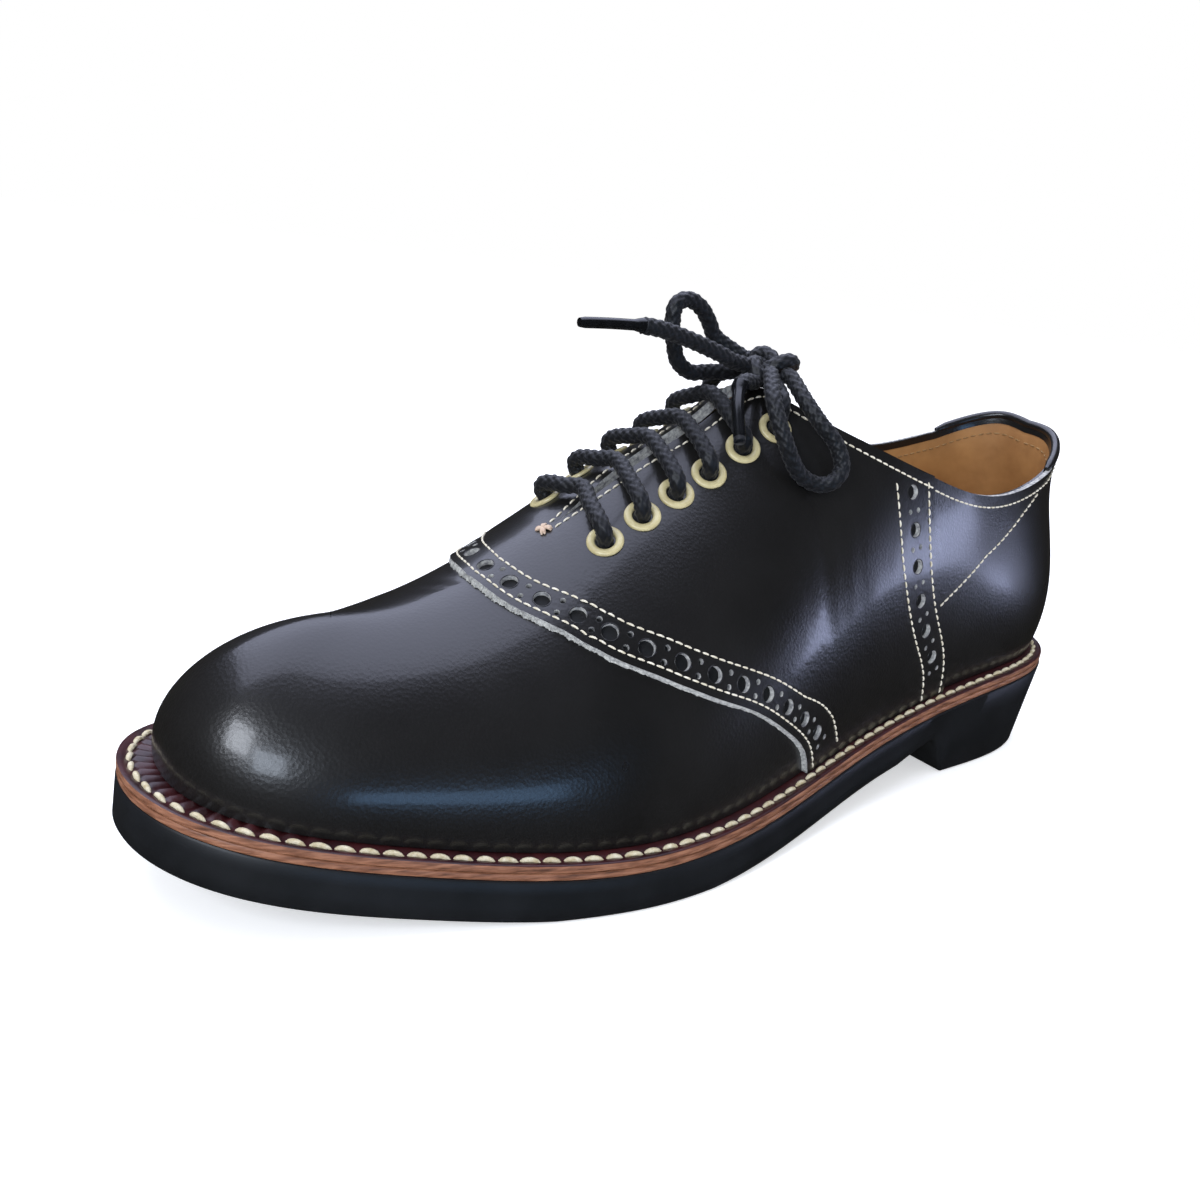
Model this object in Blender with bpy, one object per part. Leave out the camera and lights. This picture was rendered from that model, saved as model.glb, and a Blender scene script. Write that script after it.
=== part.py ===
"""Left saddle shoe: hollow upper on its last, saddle overlay, welted rubber sole, twelve eyelets and a laced bow.

The design is in millimetres in the last's own frame: x runs from the heel (0) to the toe (LENGTH), +y is the
outer side and z is up from the floor. The finished pieces are centred on the sole and turned to metres at the end.
"""
import math

import bmesh
import bpy
import numpy as np

# The last
LENGTH = 305.0        # outsole, heel to toe
BALL = 107.8          # outsole width at the ball
INSTEP = 112.2        # top of the facings above the floor
HEEL_HEIGHT = 105.0   # back of the collar above the floor

# The sole, from the floor up
RUBBER = 10.1         # outsole at the ball
HEEL_LIFT = 19.6      # how much higher the outsole's top is at the heel than at the ball
TOE_SPRING = 13.2     # and at the toe
MIDSOLE, WELT, INSOLE = 1.5, 1.8, 2.0
WELT_WIDTH = 13.0
GAP = 0.3             # between any two pieces
HEEL_TAPER = 3.2      # how far the heel's foot lies inside its top
SOLE_FLARE = 0.6      # how far the forefoot's foot lies outside its top
MIDSOLE_STEP, WELT_STEP = 0.4, 0.2   # layers set back from the outsole's edge
HEEL_END, BREAST_TOP = 0.226, 0.262  # the heel's front face, shares of the length at floor and waist
FLARE_END = 0.326

# The leather
WALL = 2.0            # upper with its lining
SADDLE_GAP, SADDLE_SKIN = 0.4, 1.2
TONGUE_GAP, TONGUE = 1.8, 2.0
TONGUE_TIP = (-4.5, 0.0, 1.2)        # the tongue's end beyond the facings

# Lacing
PAIRS = 6
FIRST_EYE, EYE_PITCH = 7.5, 9.4      # from the throat and to the next eyelet, along x
EYE_ROW = {1: (15.0, 13.2), -1: (12.5, 11.8)}   # from the slit to the lowest and the top eyelet, along the leather
LACE = 2.15           # radius of the round lace
EYE_BORE = LACE + 0.35
EYE_TUBE = 0.35
EYE_HOLE = EYE_BORE + EYE_TUBE + 0.35
EYE_RIM = EYE_BORE + 2.1
EYE_THICK = 0.7
LEAD_RISE, LEAD_ARCH = 3.9, 8.3    # how high the leads stand over the last eyelets
TAG = 1.35            # radius of the lace's sealed tips

SOLE_SHAPE = [        # share of length, half width and centre as shares of the ball's width
    (0.00, .3525, .000), (0.13, .3516, -.003), (0.38, .3395, .0445), (0.66, .500, .014),
    (0.84, .4258, -.008), (1.00, .4286, -.0065)]
ROUND_HEEL, ROUND_TOE = 6.8, 5.0     # how square the two ends of the outline are
RISE = [              # share of length, share of the heel's lift, share of the toe spring
    (0.00, 1.000, 0), (0.20, .821, 0), (0.42, .281, 0), (0.60, 0, 0), (0.74, 0, 0), (1.00, 0, 1)]
THROAT, CORNER = 0.64, 0.475         # columns where the facings start and end
SLIT = [              # column, half the gap between the facings as a share of SLIT_GAP
    (.475, 1.0), (.50, .77), (.60, .60), (.64, 0.0)]
SLIT_GAP = 3.0
SLIT_SHIFT = 1.0      # the slit lies this far to the outer side
COLLAR = [            # column, share of the instep's height instead of the back's
    (0.00, 0.0), (0.20, 0.0), (0.38, 1.0), (1.00, 1.0)]
COLUMNS = [
    # The upper's sections, from the heel (0) to the toe (1). Of the length: top x. Of the ball's width: top y,
    # bulge at the side, lead over the shoulder, inset from the sole's edge. Of the height: top z, inner side's raise.
    # Angles of the shoulder in degrees. Column order:
    # column, top x, top y, top z, side share, bulge, lead, outer fall, inner fall, inner raise, inset
    (0.000, .0393, .000, 1.000, .42, .079, .204, 99, 99, .000, .043),
    (0.100, .0492, .116, 0.981, .42, .074, .204, 98, 98, .028, .043),
    (0.200, .1049, .218, 0.900, .42, .056, .204, 94, 94, .038, .046),
    (0.300, .2066, .264, 0.811, .40, .037, .204, 90, 90, .037, .051),
    (0.380, .3148, .264, 0.840, .42, .032, .195, 82, 82, .027, .051),
    (0.425, .3951, .227, 0.906, .42, .028, .190, 68, 66, .014, .051),
    (0.455, .4459, .148, 0.961, .42, .028, .204, 51, 45, .004, .051),
    (0.475, .4738, .028, 1.000, .42, .028, .237, 35, 24, .000, .051),
    (0.520, .5246, .021, 0.936, .42, .028, .232, 30, 14, .000, .051),
    (0.580, .5934, .018, 0.823, .42, .028, .232, 26, 6, .000, .051),
    (0.640, .6656, .000, 0.682, .40, .028, .232, 12, -6, .000, .051),
    (0.720, .7279, .000, 0.594, .40, .028, .232, 5, -5, .000, .051),
    (0.820, .7934, .000, 0.535, .42, .023, .223, 0, 0, .000, .054),
    (0.920, .8426, .000, 0.519, .46, .023, .213, 0, 0, .000, .065),
    (1.000, .8557, .000, 0.517, .50, .028, .204, 0, 0, .000, .074)]
CREST = [             # share of length, share of the instep's height: the ridge of the vamp
    (.6656, .682), (.695, .640), (.728, .5936), (.761, .559), (.793, .535), (.826, .5214), (.859, .517),
    (.902, .5036)]
SADDLE_FRONT = [      # height share, column: the saddle's front edge
    (0.00, .478), (0.08, .489), (0.16, .512), (0.25, .542), (0.31, .567), (0.39, .594), (0.52, .632),
    (0.63, .655), (0.75, .686), (0.89, .7195), (1.00, .745)]
SADDLE_BACK = [       # height share, column: its back edge
    (0.00, .333), (0.23, .345), (0.44, .365), (0.72, .379), (1.00, .384)]
STEPS = [0, .03, .06, .10, .14, .18, .22, .26, .30, .34, .384, .41, .435, .455, .475, .50, .53, .555, .58, .61,
         .64, .67, .70, .728, .755, .785, .82, .855, .89, .925, .96, 1]
RISES = [0, .08, .19, .31, .44, .57, .68, .78, .86, .92, .96, 1]
TONGUE_END, TONGUE_SIDE = 0.70, 0.56    # the tongue's column under the vamp, and its lowest height share

# The bow: each cord's way points, measured from the knot's middle
KNOT = (-1.6, 2.0, 6.6)              # the knot, from the top of the slit
KNOT_SIZE = 2.25
LOOP_OUTER = [
    (5.6, 7.3, -1.5), (10.8, 15.4, -7.0), (10.0, 20.8, -15.8), (5.4, 22.6, -23.2), (0.2, 24.3, -26.0),
    (-3.8, 26.3, -25.2), (-6.4, 26.4, -21.4), (-5.3, 24.0, -15.8), (-2.0, 20.5, -11.1), (-0.4, 15.3, -6.2),
    (-1.2, 8.3, -1.5)]
LOOP_INNER = [
    (5.3, -4.1, -1.8), (13.3, -8.5, -3.0), (19.0, -9.0, -3.4), (23.7, -9.0, -0.9), (25.8, -9.0, 3.4),
    (27.3, -9.0, 9.0), (26.8, -9.0, 13.4), (22.9, -9.0, 14.9), (18.4, -9.0, 13.2), (15.0, -9.0, 9.8),
    (11.9, -9.0, 6.1), (5.1, -5.7, 2.2)]
END_OUTER = [(7.9, 3.9, -3.6), (13.0, 6.3, -3.2), (16.6, 8.2, -4.4)]
TAG_OUTER = [(17.0, 8.6, -4.7), (20.5, 12.8, -8.8), (23.4, 18.6, -16.6)]
END_INNER = [(8.6, -0.3, 0.4), (13.6, 0.2, 1.2), (18.1, 1.0, 2.6), (28.4, 1.0, 5.4), (38.1, 1.0, 7.4), (44.4, 1.0, 8.0)]
TAG_INNER = [(44.7, 1.0, 8.0), (54.0, 1.0, 7.8), (63.0, 1.0, 7.4)]
LEAD_OUTER, LEAD_INNER = (2.4, 8.3, -5.2), (3.0, -9.9, -2.4)
LEAD_IN = [           # a lace's way out of an eyelet: along the leather, above the leather under the saddle
    (0.0, -1.2), (0.0, 1.6), (0.1, 3.5), (0.8, 4.8), (2.5, 5.5), (5.0, 5.3)]

MATERIALS = {         # colour, roughness, metallic
    "black polished leather": ((.008, .009, .011), .28, 0.0),
    "black rubber": ((.012, .012, .013), .45, 0.0),
    "brown edge leather": ((.16, .055, .025), .5, 0.0),
    "oxblood welt": ((.10, .018, .014), .4, 0.0),
    "tan lining leather": ((.45, .24, .11), .6, 0.0),
    "cream enamel": ((.72, .62, .42), .35, 0.2),
    "black waxed lace": ((.012, .012, .014), .55, 0.0)}


def spline(rows, col=1):
    """A natural cubic through one column of a table, by its first column."""
    xs = np.array([r[0] for r in rows], float)
    ys = np.array([r[col] for r in rows], float)
    n = len(xs)
    h = np.diff(xs)
    A, b = np.eye(n), np.zeros(n)
    for i in range(1, n - 1):
        A[i, i - 1:i + 2] = h[i - 1], 2 * (h[i - 1] + h[i]), h[i]
        b[i] = 6 * ((ys[i + 1] - ys[i]) / h[i] - (ys[i] - ys[i - 1]) / h[i - 1])
    m = np.linalg.solve(A, b)

    def at(x):
        x = np.clip(x, xs[0], xs[-1])
        k = np.clip(np.searchsorted(xs, x) - 1, 0, n - 2)
        d, hk = x - xs[k], h[k]
        return (ys[k] + d * ((ys[k + 1] - ys[k]) / hk - hk * (2 * m[k] + m[k + 1]) / 6)
                + d * d * m[k] / 2 + d ** 3 * (m[k + 1] - m[k]) / (6 * hk))
    return at


halfWidth, middle = spline(SOLE_SHAPE), spline(SOLE_SHAPE, 2)
heelShare, toeShare = spline(RISE), spline(RISE, 2)
(topX, topZ, sideShare, bulge, lead, outerFall, innerFall, innerRaise, inset) = (
    spline(COLUMNS, k) for k in (1, 3, 4, 5, 6, 7, 8, 9, 10))
collarY = spline([row for row in COLUMNS if row[0] <= CORNER], 2)
crestShare = spline(CREST)
saddleFront, saddleBack = spline(SADDLE_FRONT), spline(SADDLE_BACK)
BACK, FRONT = SADDLE_BACK[-1][1], SADDLE_FRONT[-1][1]
BAND = GAP + MIDSOLE + GAP + WELT


def rubberTop(s):
    """Height of the outsole's top at a share of the length."""
    return RUBBER + HEEL_LIFT * heelShare(s) + TOE_SPRING * toeShare(s)


def crest(x):
    return INSTEP * crestShare(x / LENGTH)


def table(rows, x):
    return np.interp(x, *zip(*rows))


def warp(c, v):
    """Column lines that run along both edges of the saddle, and straight at the top line."""
    return float(np.interp(c, [0, BACK, FRONT, 1], [0, saddleBack(v), saddleFront(v), 1]))


def share(t):
    """Share of the length at a column; columns crowd at both ends."""
    return (1 - np.cos(np.pi * np.asarray(t, float))) / 2


def columnAt(s):
    return math.acos(1 - 2 * s) / math.pi


def outline(t, side, move=0.0):
    """The sole's outline on one side, moved in by a distance, with its outward normal."""
    t = np.asarray(t, float)

    def edge(u):
        xi = 2 * share(u) - 1
        power = np.where(xi < 0, ROUND_HEEL, ROUND_TOE)
        env = np.sqrt(np.maximum(1 - np.abs(xi) ** power, 0)) * np.where(np.sin(np.pi * u) < -1e-9, -1, 1)
        return np.stack([LENGTH * share(u), BALL * (middle(share(u)) + side * halfWidth(share(u)) * env)], -1)
    p, d = edge(t), edge(t + 1e-4) - edge(t - 1e-4)
    n = np.stack([-d[..., 1], d[..., 0]], -1) * side
    n /= np.linalg.norm(n, axis=-1)[..., None]
    return p - n * np.asarray(move, float)[..., None], n


def cage(t, side):
    """The four control points of a column: foot, side, shoulder and top line."""
    foot, n = outline(t, side, BALL * inset(t))
    F = np.concatenate([foot, (rubberTop(foot[..., 0] / LENGTH) + BAND + GAP)[..., None]], -1)
    x = LENGTH * topX(t)
    height = HEEL_HEIGHT + (INSTEP - HEEL_HEIGHT) * table(COLLAR, t)
    z = height * (topZ(t) + (innerRaise(t) if side < 0 else 0))
    y = side * np.where(t < CORNER, BALL * collarY(t), SLIT_GAP * table(SLIT, t))
    vamp = t >= THROAT - 1e-9
    z = np.where(vamp, crest(x), z)
    y = np.where(vamp, 0, y) + SLIT_SHIFT * table([(.40, 0), (.48, 1), (.70, 1), (1, 0)], t)
    T = np.stack([x, y, z], -1)
    N = np.concatenate([n, 0 * n[..., :1]], -1)
    U = F - T + N * 10
    U[..., 2] = 0
    U /= np.linalg.norm(U, axis=-1)[..., None]
    Z = np.array([0, 0, 1.0])
    slope = np.where(t > THROAT, crest(x + .5) - crest(x - .5), 0)
    fall = np.radians(outerFall(t) if side > 0 else innerFall(t))
    A = F + Z * (sideShare(t) * (z - F[..., 2]))[..., None] + N * (BALL * bulge(t))[..., None]
    reach = BALL * lead(t)
    B = T + U * (reach * np.cos(fall))[..., None] + Z * (-reach * np.sin(fall) + slope * U[..., 0] * reach)[..., None]
    return F, A, B, T


def upper(t, v, side):
    """The outside of the upper: t is the column from heel to toe, v the height from the welt 0 to the top line 1."""
    t, v = np.asarray(t, float), np.asarray(v, float)
    F, A, B, T = cage(t, side)
    # Round the collar's corner the shoulders and sides are shared out, so that the wall below it stays fair
    reach = .03 * table([(.37, 0), (.42, 1), (.52, 1), (.58, 0)], t)
    A, B = 0 * A, 0 * B
    for k, w in ((-1, .14), (-.5, .22), (0, .28), (.5, .22), (1, .14)):
        _, a, b, _ = cage(t + k * reach, side)
        A, B = A + w * a, B + w * b
    v = v[..., None]
    return (1 - v) ** 3 * F + 3 * (1 - v) ** 2 * v * A + 3 * (1 - v) * v * v * B + v ** 3 * T


def facing(t, v, side):
    """Outward unit normal of the upper."""
    e = 1e-3
    dt = upper(min(t + e, 1), v, side) - upper(max(t - e, 0), v, side)
    dv = upper(t, min(v + e, 1), side) - upper(t, max(v - e, 0), side)
    n = np.cross(dv, dt) * side
    return n / np.linalg.norm(n)


def finish(name):
    """The material of that name, made once."""
    if name not in bpy.data.materials:
        colour, roughness, metallic = MATERIALS[name]
        material = bpy.data.materials.new(name)
        material.use_nodes = True
        shader = material.node_tree.nodes["Principled BSDF"]
        shader.inputs["Base Color"].default_value = (*colour, 1)
        shader.inputs["Roughness"].default_value = roughness
        shader.inputs["Metallic"].default_value = metallic
    return bpy.data.materials[name]


def build(name, verts, faces, material):
    """One object from points and faces, as a clean triangle mesh with its faces out."""
    mesh = bpy.data.meshes.new(name)
    mesh.from_pydata([tuple(float(c) for c in v) for v in verts], [], [tuple(f) for f in faces])
    ob = bpy.data.objects.new(name, mesh)
    bpy.context.scene.collection.objects.link(ob)
    bm = bmesh.new()
    bm.from_mesh(mesh)
    bmesh.ops.remove_doubles(bm, verts=bm.verts, dist=1e-4)
    bmesh.ops.dissolve_degenerate(bm, dist=1e-4, edges=bm.edges)
    bmesh.ops.recalc_face_normals(bm, faces=bm.faces)
    bmesh.ops.triangulate(bm, faces=bm.faces)
    bm.to_mesh(mesh)
    bm.free()
    mesh.materials.append(finish(material))
    return ob


def weld(grids):
    """Join grids of points (rows x columns, with a side) into one sheet."""
    verts, faces, seen = [], [], {}

    def key(p):
        k = tuple(np.round(p, 3))
        if k not in seen:
            seen[k] = len(verts)
            verts.append(p)
        return seen[k]
    for grid, side in grids:
        I = [[key(p) for p in row] for row in grid]
        for a in range(len(I) - 1):
            for b in range(len(I[0]) - 1):
                first, second = [I[a][b], I[a][b + 1], I[a + 1][b + 1]], [I[a][b], I[a + 1][b + 1], I[a + 1][b]]
                faces += [q if side > 0 else q[::-1] for q in (first, second) if len(set(q)) == 3]
    return np.array(verts), faces


def shell(name, sheet, inner, outer, material):
    """A closed skin between two offsets of one sheet."""
    verts, faces = sheet
    N = np.zeros_like(verts)
    for f in faces:
        p = verts[f]
        n = np.cross(p[1] - p[0], p[2] - p[0])
        for i in f:
            N[i] += n
    N /= np.linalg.norm(N, axis=1)[:, None]
    k = len(verts)
    closed = [list(f) for f in faces] + [[i + k for i in f][::-1] for f in faces]
    edges = {(a, b) for f in faces for a, b in zip(f, f[1:] + f[:1])}
    closed += [[b, a, a + k, b + k] for a, b in sorted(edges) if (b, a) not in edges]
    return build(name, np.vstack([verts + N * outer, verts + N * inner]), closed, material)


def around(steps):
    """(side, column) round the whole outline, from the heel and back to it."""
    return [(1, t) for t in steps] + [(-1, t) for t in steps[::-1][1:-1]]


def slab(name, steps, top, bottom, moveTop, moveBottom, material, flatSteps=False):
    """A layer of the sole between two heights, which follow x, or the column where the steps are to stay flat."""
    rings = []
    for z, move in ((top, moveTop), (bottom, moveBottom)):
        ring = []
        for side, t in around(steps):
            p, _ = outline(t, side, move(share(t)))
            ring.append((p[0], p[1], z(share(t) if flatSteps else p[0] / LENGTH)))
        rings.append(ring)
    m, n = len(rings[0]), len(steps)
    outer = list(range(n))
    inner = [0] + list(range(m - 1, n - 1, -1)) + [n - 1]
    faces = [[i, (i + 1) % m, (i + 1) % m + m, i + m] for i in range(m)]
    for base in (0, m):
        for i in range(n - 1):
            q = [outer[i], outer[i + 1], inner[i + 1], inner[i]]
            faces.append([x + base for j, x in enumerate(q) if x != q[j - 1]])
    return build(name, rings[0] + rings[1], faces, material)


def ringBand(name, steps, low, high, moveOut, moveIn, material):
    """A flat ring along the outline, on the rubber's top."""
    corners = ((low, moveOut), (high, moveOut), (high, moveIn), (low, moveIn))
    verts = []
    for z, move in corners:
        for side, t in around(steps):
            p, _ = outline(t, side, move)
            verts.append((p[0], p[1], rubberTop(p[0] / LENGTH) + z))
    m = len(verts) // 4
    faces = []
    for a in range(4):
        b = (a + 1) % 4
        faces += [[a * m + i, a * m + (i + 1) % m, b * m + (i + 1) % m, b * m + i] for i in range(m)]
    return build(name, verts, faces, material)


def smooth(points, per):
    """Catmull-Rom through the points."""
    P = [np.array(p, float) for p in points]
    P = [2 * P[0] - P[1]] + P + [2 * P[-1] - P[-2]]
    out = []
    for a, b, c, d in zip(P, P[1:], P[2:], P[3:]):
        for u in np.arange(per) / per:
            out.append(.5 * (2 * b + (c - a) * u + (2 * a - 5 * b + 4 * c - d) * u * u
                             + (3 * b - a - 3 * c + d) * u ** 3))
    return out + [P[-2]]


def tube(name, path, radius, closed=False, sides=8):
    """A round cord along a path, with its frames carried along so that it doesn't twist."""
    P = np.array(path, float)
    m = len(P)
    T = np.roll(P, -1, 0) - np.roll(P, 1, 0) if closed else np.gradient(P, axis=0)
    T /= np.linalg.norm(T, axis=1)[:, None]
    X = np.cross(T[0], [0.3, 0.2, 1.0])
    frames = []
    for k in range(m):
        X = X - T[k] * X.dot(T[k])
        X /= np.linalg.norm(X)
        frames.append(X)
    twist = 0
    if closed:
        last = frames[-1] - T[0] * frames[-1].dot(T[0])
        twist = math.atan2(last.dot(np.cross(T[0], frames[0])), last.dot(frames[0]))
    verts, faces = [], []
    for k in range(m):
        Y = np.cross(T[k], frames[k])
        for j in range(sides):
            a = 2 * math.pi * j / sides - twist * k / m
            verts.append(P[k] + radius * (math.cos(a) * frames[k] + math.sin(a) * Y))
    for k in range(m if closed else m - 1):
        a, b = k * sides, ((k + 1) % m) * sides
        faces += [[a + j, a + (j + 1) % sides, b + (j + 1) % sides, b + j] for j in range(sides)]
    if not closed:
        faces += [list(range(sides))[::-1], [(m - 1) * sides + j for j in range(sides)]]
    return build(name, verts, faces, "black waxed lace")


def lathe(name, centre, axis, profile, sides, material):
    """A profile of (radius, height) turned about an axis."""
    X = np.cross(axis, [0, 0, 1.0])
    X /= np.linalg.norm(X)
    Y = np.cross(axis, X)
    n = len(profile)
    turn = [2 * math.pi * j / sides for j in range(sides)]
    verts = [centre + axis * h + r * (math.cos(a) * X + math.sin(a) * Y) for a in turn for r, h in profile]
    faces = []
    for j in range(sides):
        k = (j + 1) % sides
        faces += [[j * n + i, j * n + (i + 1) % n, k * n + (i + 1) % n, k * n + i] for i in range(n)]
    return build(name, verts, faces, material)


def cut(ob, cutters):
    """Cut holes and leave a clean triangle mesh."""
    for cutter in cutters:
        mod = ob.modifiers.new("holes", 'BOOLEAN')
        mod.operation, mod.solver, mod.object = 'DIFFERENCE', 'EXACT', cutter
        mesh = bpy.data.meshes.new_from_object(ob.evaluated_get(bpy.context.evaluated_depsgraph_get()))
        ob.modifiers.clear()
        ob.data = mesh
        bm = bmesh.new()
        bm.from_mesh(mesh)
        bmesh.ops.remove_doubles(bm, verts=bm.verts, dist=0.01)
        bmesh.ops.dissolve_degenerate(bm, dist=0.01, edges=bm.edges)
        bmesh.ops.triangulate(bm, faces=bm.faces)
        bm.to_mesh(mesh)
        bm.free()


def soleBottom(s):
    """The outsole's underside: heel on the floor, its front face, then the waist, ball and toe."""
    waist = max(0.0, float(rubberTop(s)) - RUBBER)
    if s <= HEEL_END:
        return 0.0
    if s < BREAST_TOP:
        return waist * (1 - ((BREAST_TOP - s) / (BREAST_TOP - HEEL_END)) ** 1.6)
    return waist


def soleTaper(s):
    return float(np.interp(s, [HEEL_END, FLARE_END], [HEEL_TAPER, -SOLE_FLARE]))


def makeSole():
    start, end = columnAt(HEEL_END), columnAt(BREAST_TOP)
    steps = [t for t in STEPS if not start - .012 < t < end + .012]
    steps = sorted(steps + [start, columnAt((HEEL_END + BREAST_TOP) / 2), end])
    slab("outsole", steps, rubberTop, soleBottom, lambda s: 0.0, soleTaper, "black rubber", True)
    midTop, weltTop = GAP + MIDSOLE, BAND
    slab("midsole", STEPS, lambda s: rubberTop(s) + midTop, lambda s: rubberTop(s) + GAP,
         lambda s: MIDSOLE_STEP, lambda s: MIDSOLE_STEP, "brown edge leather")
    ringBand("welt", STEPS, midTop + GAP, weltTop, WELT_STEP, WELT_WIDTH, "oxblood welt")

    def bed(s):
        return BALL * float(inset(columnAt(min(1, max(0, s))))) + WALL + 5.5 * GAP
    slab("insole", STEPS, lambda s: rubberTop(s) + weltTop + GAP + INSOLE, lambda s: rubberTop(s) + weltTop + GAP,
         bed, bed, "tan lining leather")


def skin(steps):
    """The upper's outside over some columns, as one sheet for both sides."""
    grids = [np.array([[upper(warp(c, h), h, side) for h in RISES] for c in steps]) for side in (1, -1)]
    return weld(list(zip(grids, (1, -1))))


def makeUpper():
    body = shell("upper", skin(STEPS), -WALL, 0.0, "black polished leather")
    covered = [c for c in STEPS if BACK <= c <= FRONT]
    saddle = shell("saddle", skin(covered), SADDLE_GAP, SADDLE_GAP + SADDLE_SKIN, "black polished leather")
    return body, saddle


def makeTongue():
    rows = []
    for t in [t for t in STEPS if CORNER <= t <= TONGUE_END][::-1]:
        lines = [h for h in RISES[:-1] if h >= TONGUE_SIDE]
        outer = [upper(warp(t, h), h, 1) for h in lines]
        inner = [upper(warp(t, h), h, -1) for h in lines]
        rows.append(outer + [(upper(t, 1, 1) + upper(t, 1, -1)) / 2] + inner[::-1])
    rows.append([p + np.array(TONGUE_TIP) for p in rows[-1]])
    shell("tongue", weld([(np.array(rows), -1)]), -(WALL + TONGUE_GAP + TONGUE), -(WALL + TONGUE_GAP),
          "black polished leather")


def eyeSpots():
    """Side, number from the toe end, column, height, point, normal and the leather's swell at each eyelet."""
    spots = []
    for side in (1, -1):
        for k in range(PAIRS):
            x = LENGTH * float(topX(THROAT)) - FIRST_EYE - EYE_PITCH * k
            ts = np.linspace(CORNER, THROAT, 400)
            t = float(ts[np.argmin(abs(LENGTH * topX(ts) - x))])
            vs = np.linspace(1, .5, 200)
            run = upper(np.full(200, t), vs, side)
            along = np.concatenate([[0], np.cumsum(np.linalg.norm(np.diff(run, axis=0), axis=1))])
            v = float(np.interp(np.interp(k, (0, PAIRS - 1), EYE_ROW[side]), along, vs))
            near = [(t + dt, v + dv) for dt in (-.014, -.007, 0, .007, .014) for dv in (-.12, -.06, 0, .06, .12)
                    if v + dv < 1]
            n = sum(facing(a, b, side) for a, b in near)
            n /= np.linalg.norm(n)
            p = upper(t, v, side)
            rim = [upper(a, b, side) - p for a, b in near]
            swell = max(q.dot(n) for q in rim if np.linalg.norm(q) < EYE_RIM + .6)
            spots.append((side, k, t, v, p, n, swell))
    return spots


def makeEyelets(spots, leathers):
    drill = [(0.001, -8), (EYE_HOLE, -8), (EYE_HOLE, 6), (0.001, 6)]
    drills = [lathe("drill", p, n, drill, 8, "cream enamel") for _, _, _, _, p, n, _ in spots]
    for leather in leathers:
        cut(leather, drills)
    for ob in drills:
        bpy.data.objects.remove(ob, do_unlink=True)
    low, wall = -WALL - .1, EYE_BORE + EYE_TUBE
    for side, k, _, _, p, n, swell in spots:
        face = SADDLE_GAP + SADDLE_SKIN + swell + GAP
        ring = [(EYE_BORE, low), (wall, low), (wall, face + .15), (EYE_RIM, face),
                (EYE_RIM - .5, face + EYE_THICK), (EYE_BORE + .2, face + EYE_THICK)]
        lathe("eyelet_%s_%d" % ("outer" if side > 0 else "inner", k + 1), p, n, ring, 10, "cream enamel")


def makeLacing(spots, knot):
    """Straight bars over the slit, and two leads from the top eyelets to the knot."""
    over = SADDLE_GAP + SADDLE_SKIN + LACE
    half = {}
    for side, k, t, v, p, n, swell in spots:
        vs = np.linspace(v, 1, 40)
        run = [upper(t, q, side) for q in vs]
        along = np.concatenate([[0], np.cumsum(np.linalg.norm(np.diff(run, axis=0), axis=1))])
        points = []
        for way, lift in LEAD_IN:
            q = float(np.interp(way, along, vs))
            points.append(upper(t, q, side) + (n if way < 1.5 else facing(t, q, side)) * (lift + swell))
        q = float(np.interp(along[-1] * .66, along, vs))
        half[side, k] = points + [upper(t, q, side) + facing(t, q, side) * (over + 1.1)]
    for k in range(PAIRS - 1):
        t = spots[k][2]
        top = (upper(t, 1, 1) + upper(t, 1, -1)) / 2 + np.array([.35, 0, .94]) * (over + .9)
        tube("lace_bar_%d" % (k + 1), smooth(half[1, k] + [top] + half[-1, k][::-1], 1), LACE)
    for side, word, end in ((1, "outer", LEAD_OUTER), (-1, "inner", LEAD_INNER)):
        p, n = [(q[4], q[5]) for q in spots if q[:2] == (side, PAIRS - 1)][0]
        end = knot + np.array(end)
        way = [p - n * 1.2, p + n * 1.6, p + n * LEAD_RISE, (p + n * LEAD_ARCH + end) / 2, end]
        tube("lace_lead_" + word, smooth(way, 2), LACE - .1)


def makeBow(knot):
    up = np.array([.30, .10, .95]) / np.linalg.norm([.30, .10, .95])
    aside = np.cross(up, [0, 1.0, 0])
    aside /= np.linalg.norm(aside)
    ahead = np.cross(aside, up)
    turns = [2 * math.pi * k / 30 for k in range(30)]
    trefoil = [knot + KNOT_SIZE * ((math.sin(a) + 2 * math.sin(2 * a)) * aside
                                   + (math.cos(a) - 2 * math.cos(2 * a)) * ahead - math.sin(3 * a) * up)
               for a in turns]
    tube("knot", trefoil, LACE - .2, closed=True)
    for name, points, radius in (
            ("loop_outer", LOOP_OUTER, LACE), ("loop_inner", LOOP_INNER, LACE),
            ("end_outer", END_OUTER, LACE), ("end_inner", END_INNER, LACE),
            ("tag_outer", TAG_OUTER, TAG), ("tag_inner", TAG_INNER, TAG)):
        tube(name, smooth([knot + np.array(p) for p in points], 2), radius)


def place():
    """Centre the shoe on its outsole and turn millimetres to metres."""
    sole = np.array([v.co[:2] for v in bpy.data.objects["outsole"].data.vertices])
    middle = (sole.min(0) + sole.max(0)) / 2
    for ob in bpy.data.objects:
        for v in ob.data.vertices:
            v.co = ((v.co.x - middle[0]) * .001, (v.co.y - middle[1]) * .001, v.co.z * .001)
        ob.data.shade_smooth()
        ob.data.set_sharp_from_angle(angle=math.radians(35))


for ob in list(bpy.data.objects):
    bpy.data.objects.remove(ob, do_unlink=True)
makeSole()
leathers = makeUpper()
makeTongue()
spots = eyeSpots()
makeEyelets(spots, leathers)
knot = (upper(CORNER, 1, 1) + upper(CORNER, 1, -1)) / 2 + np.array(KNOT)
makeLacing(spots, knot)
makeBow(knot)
place()
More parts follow.
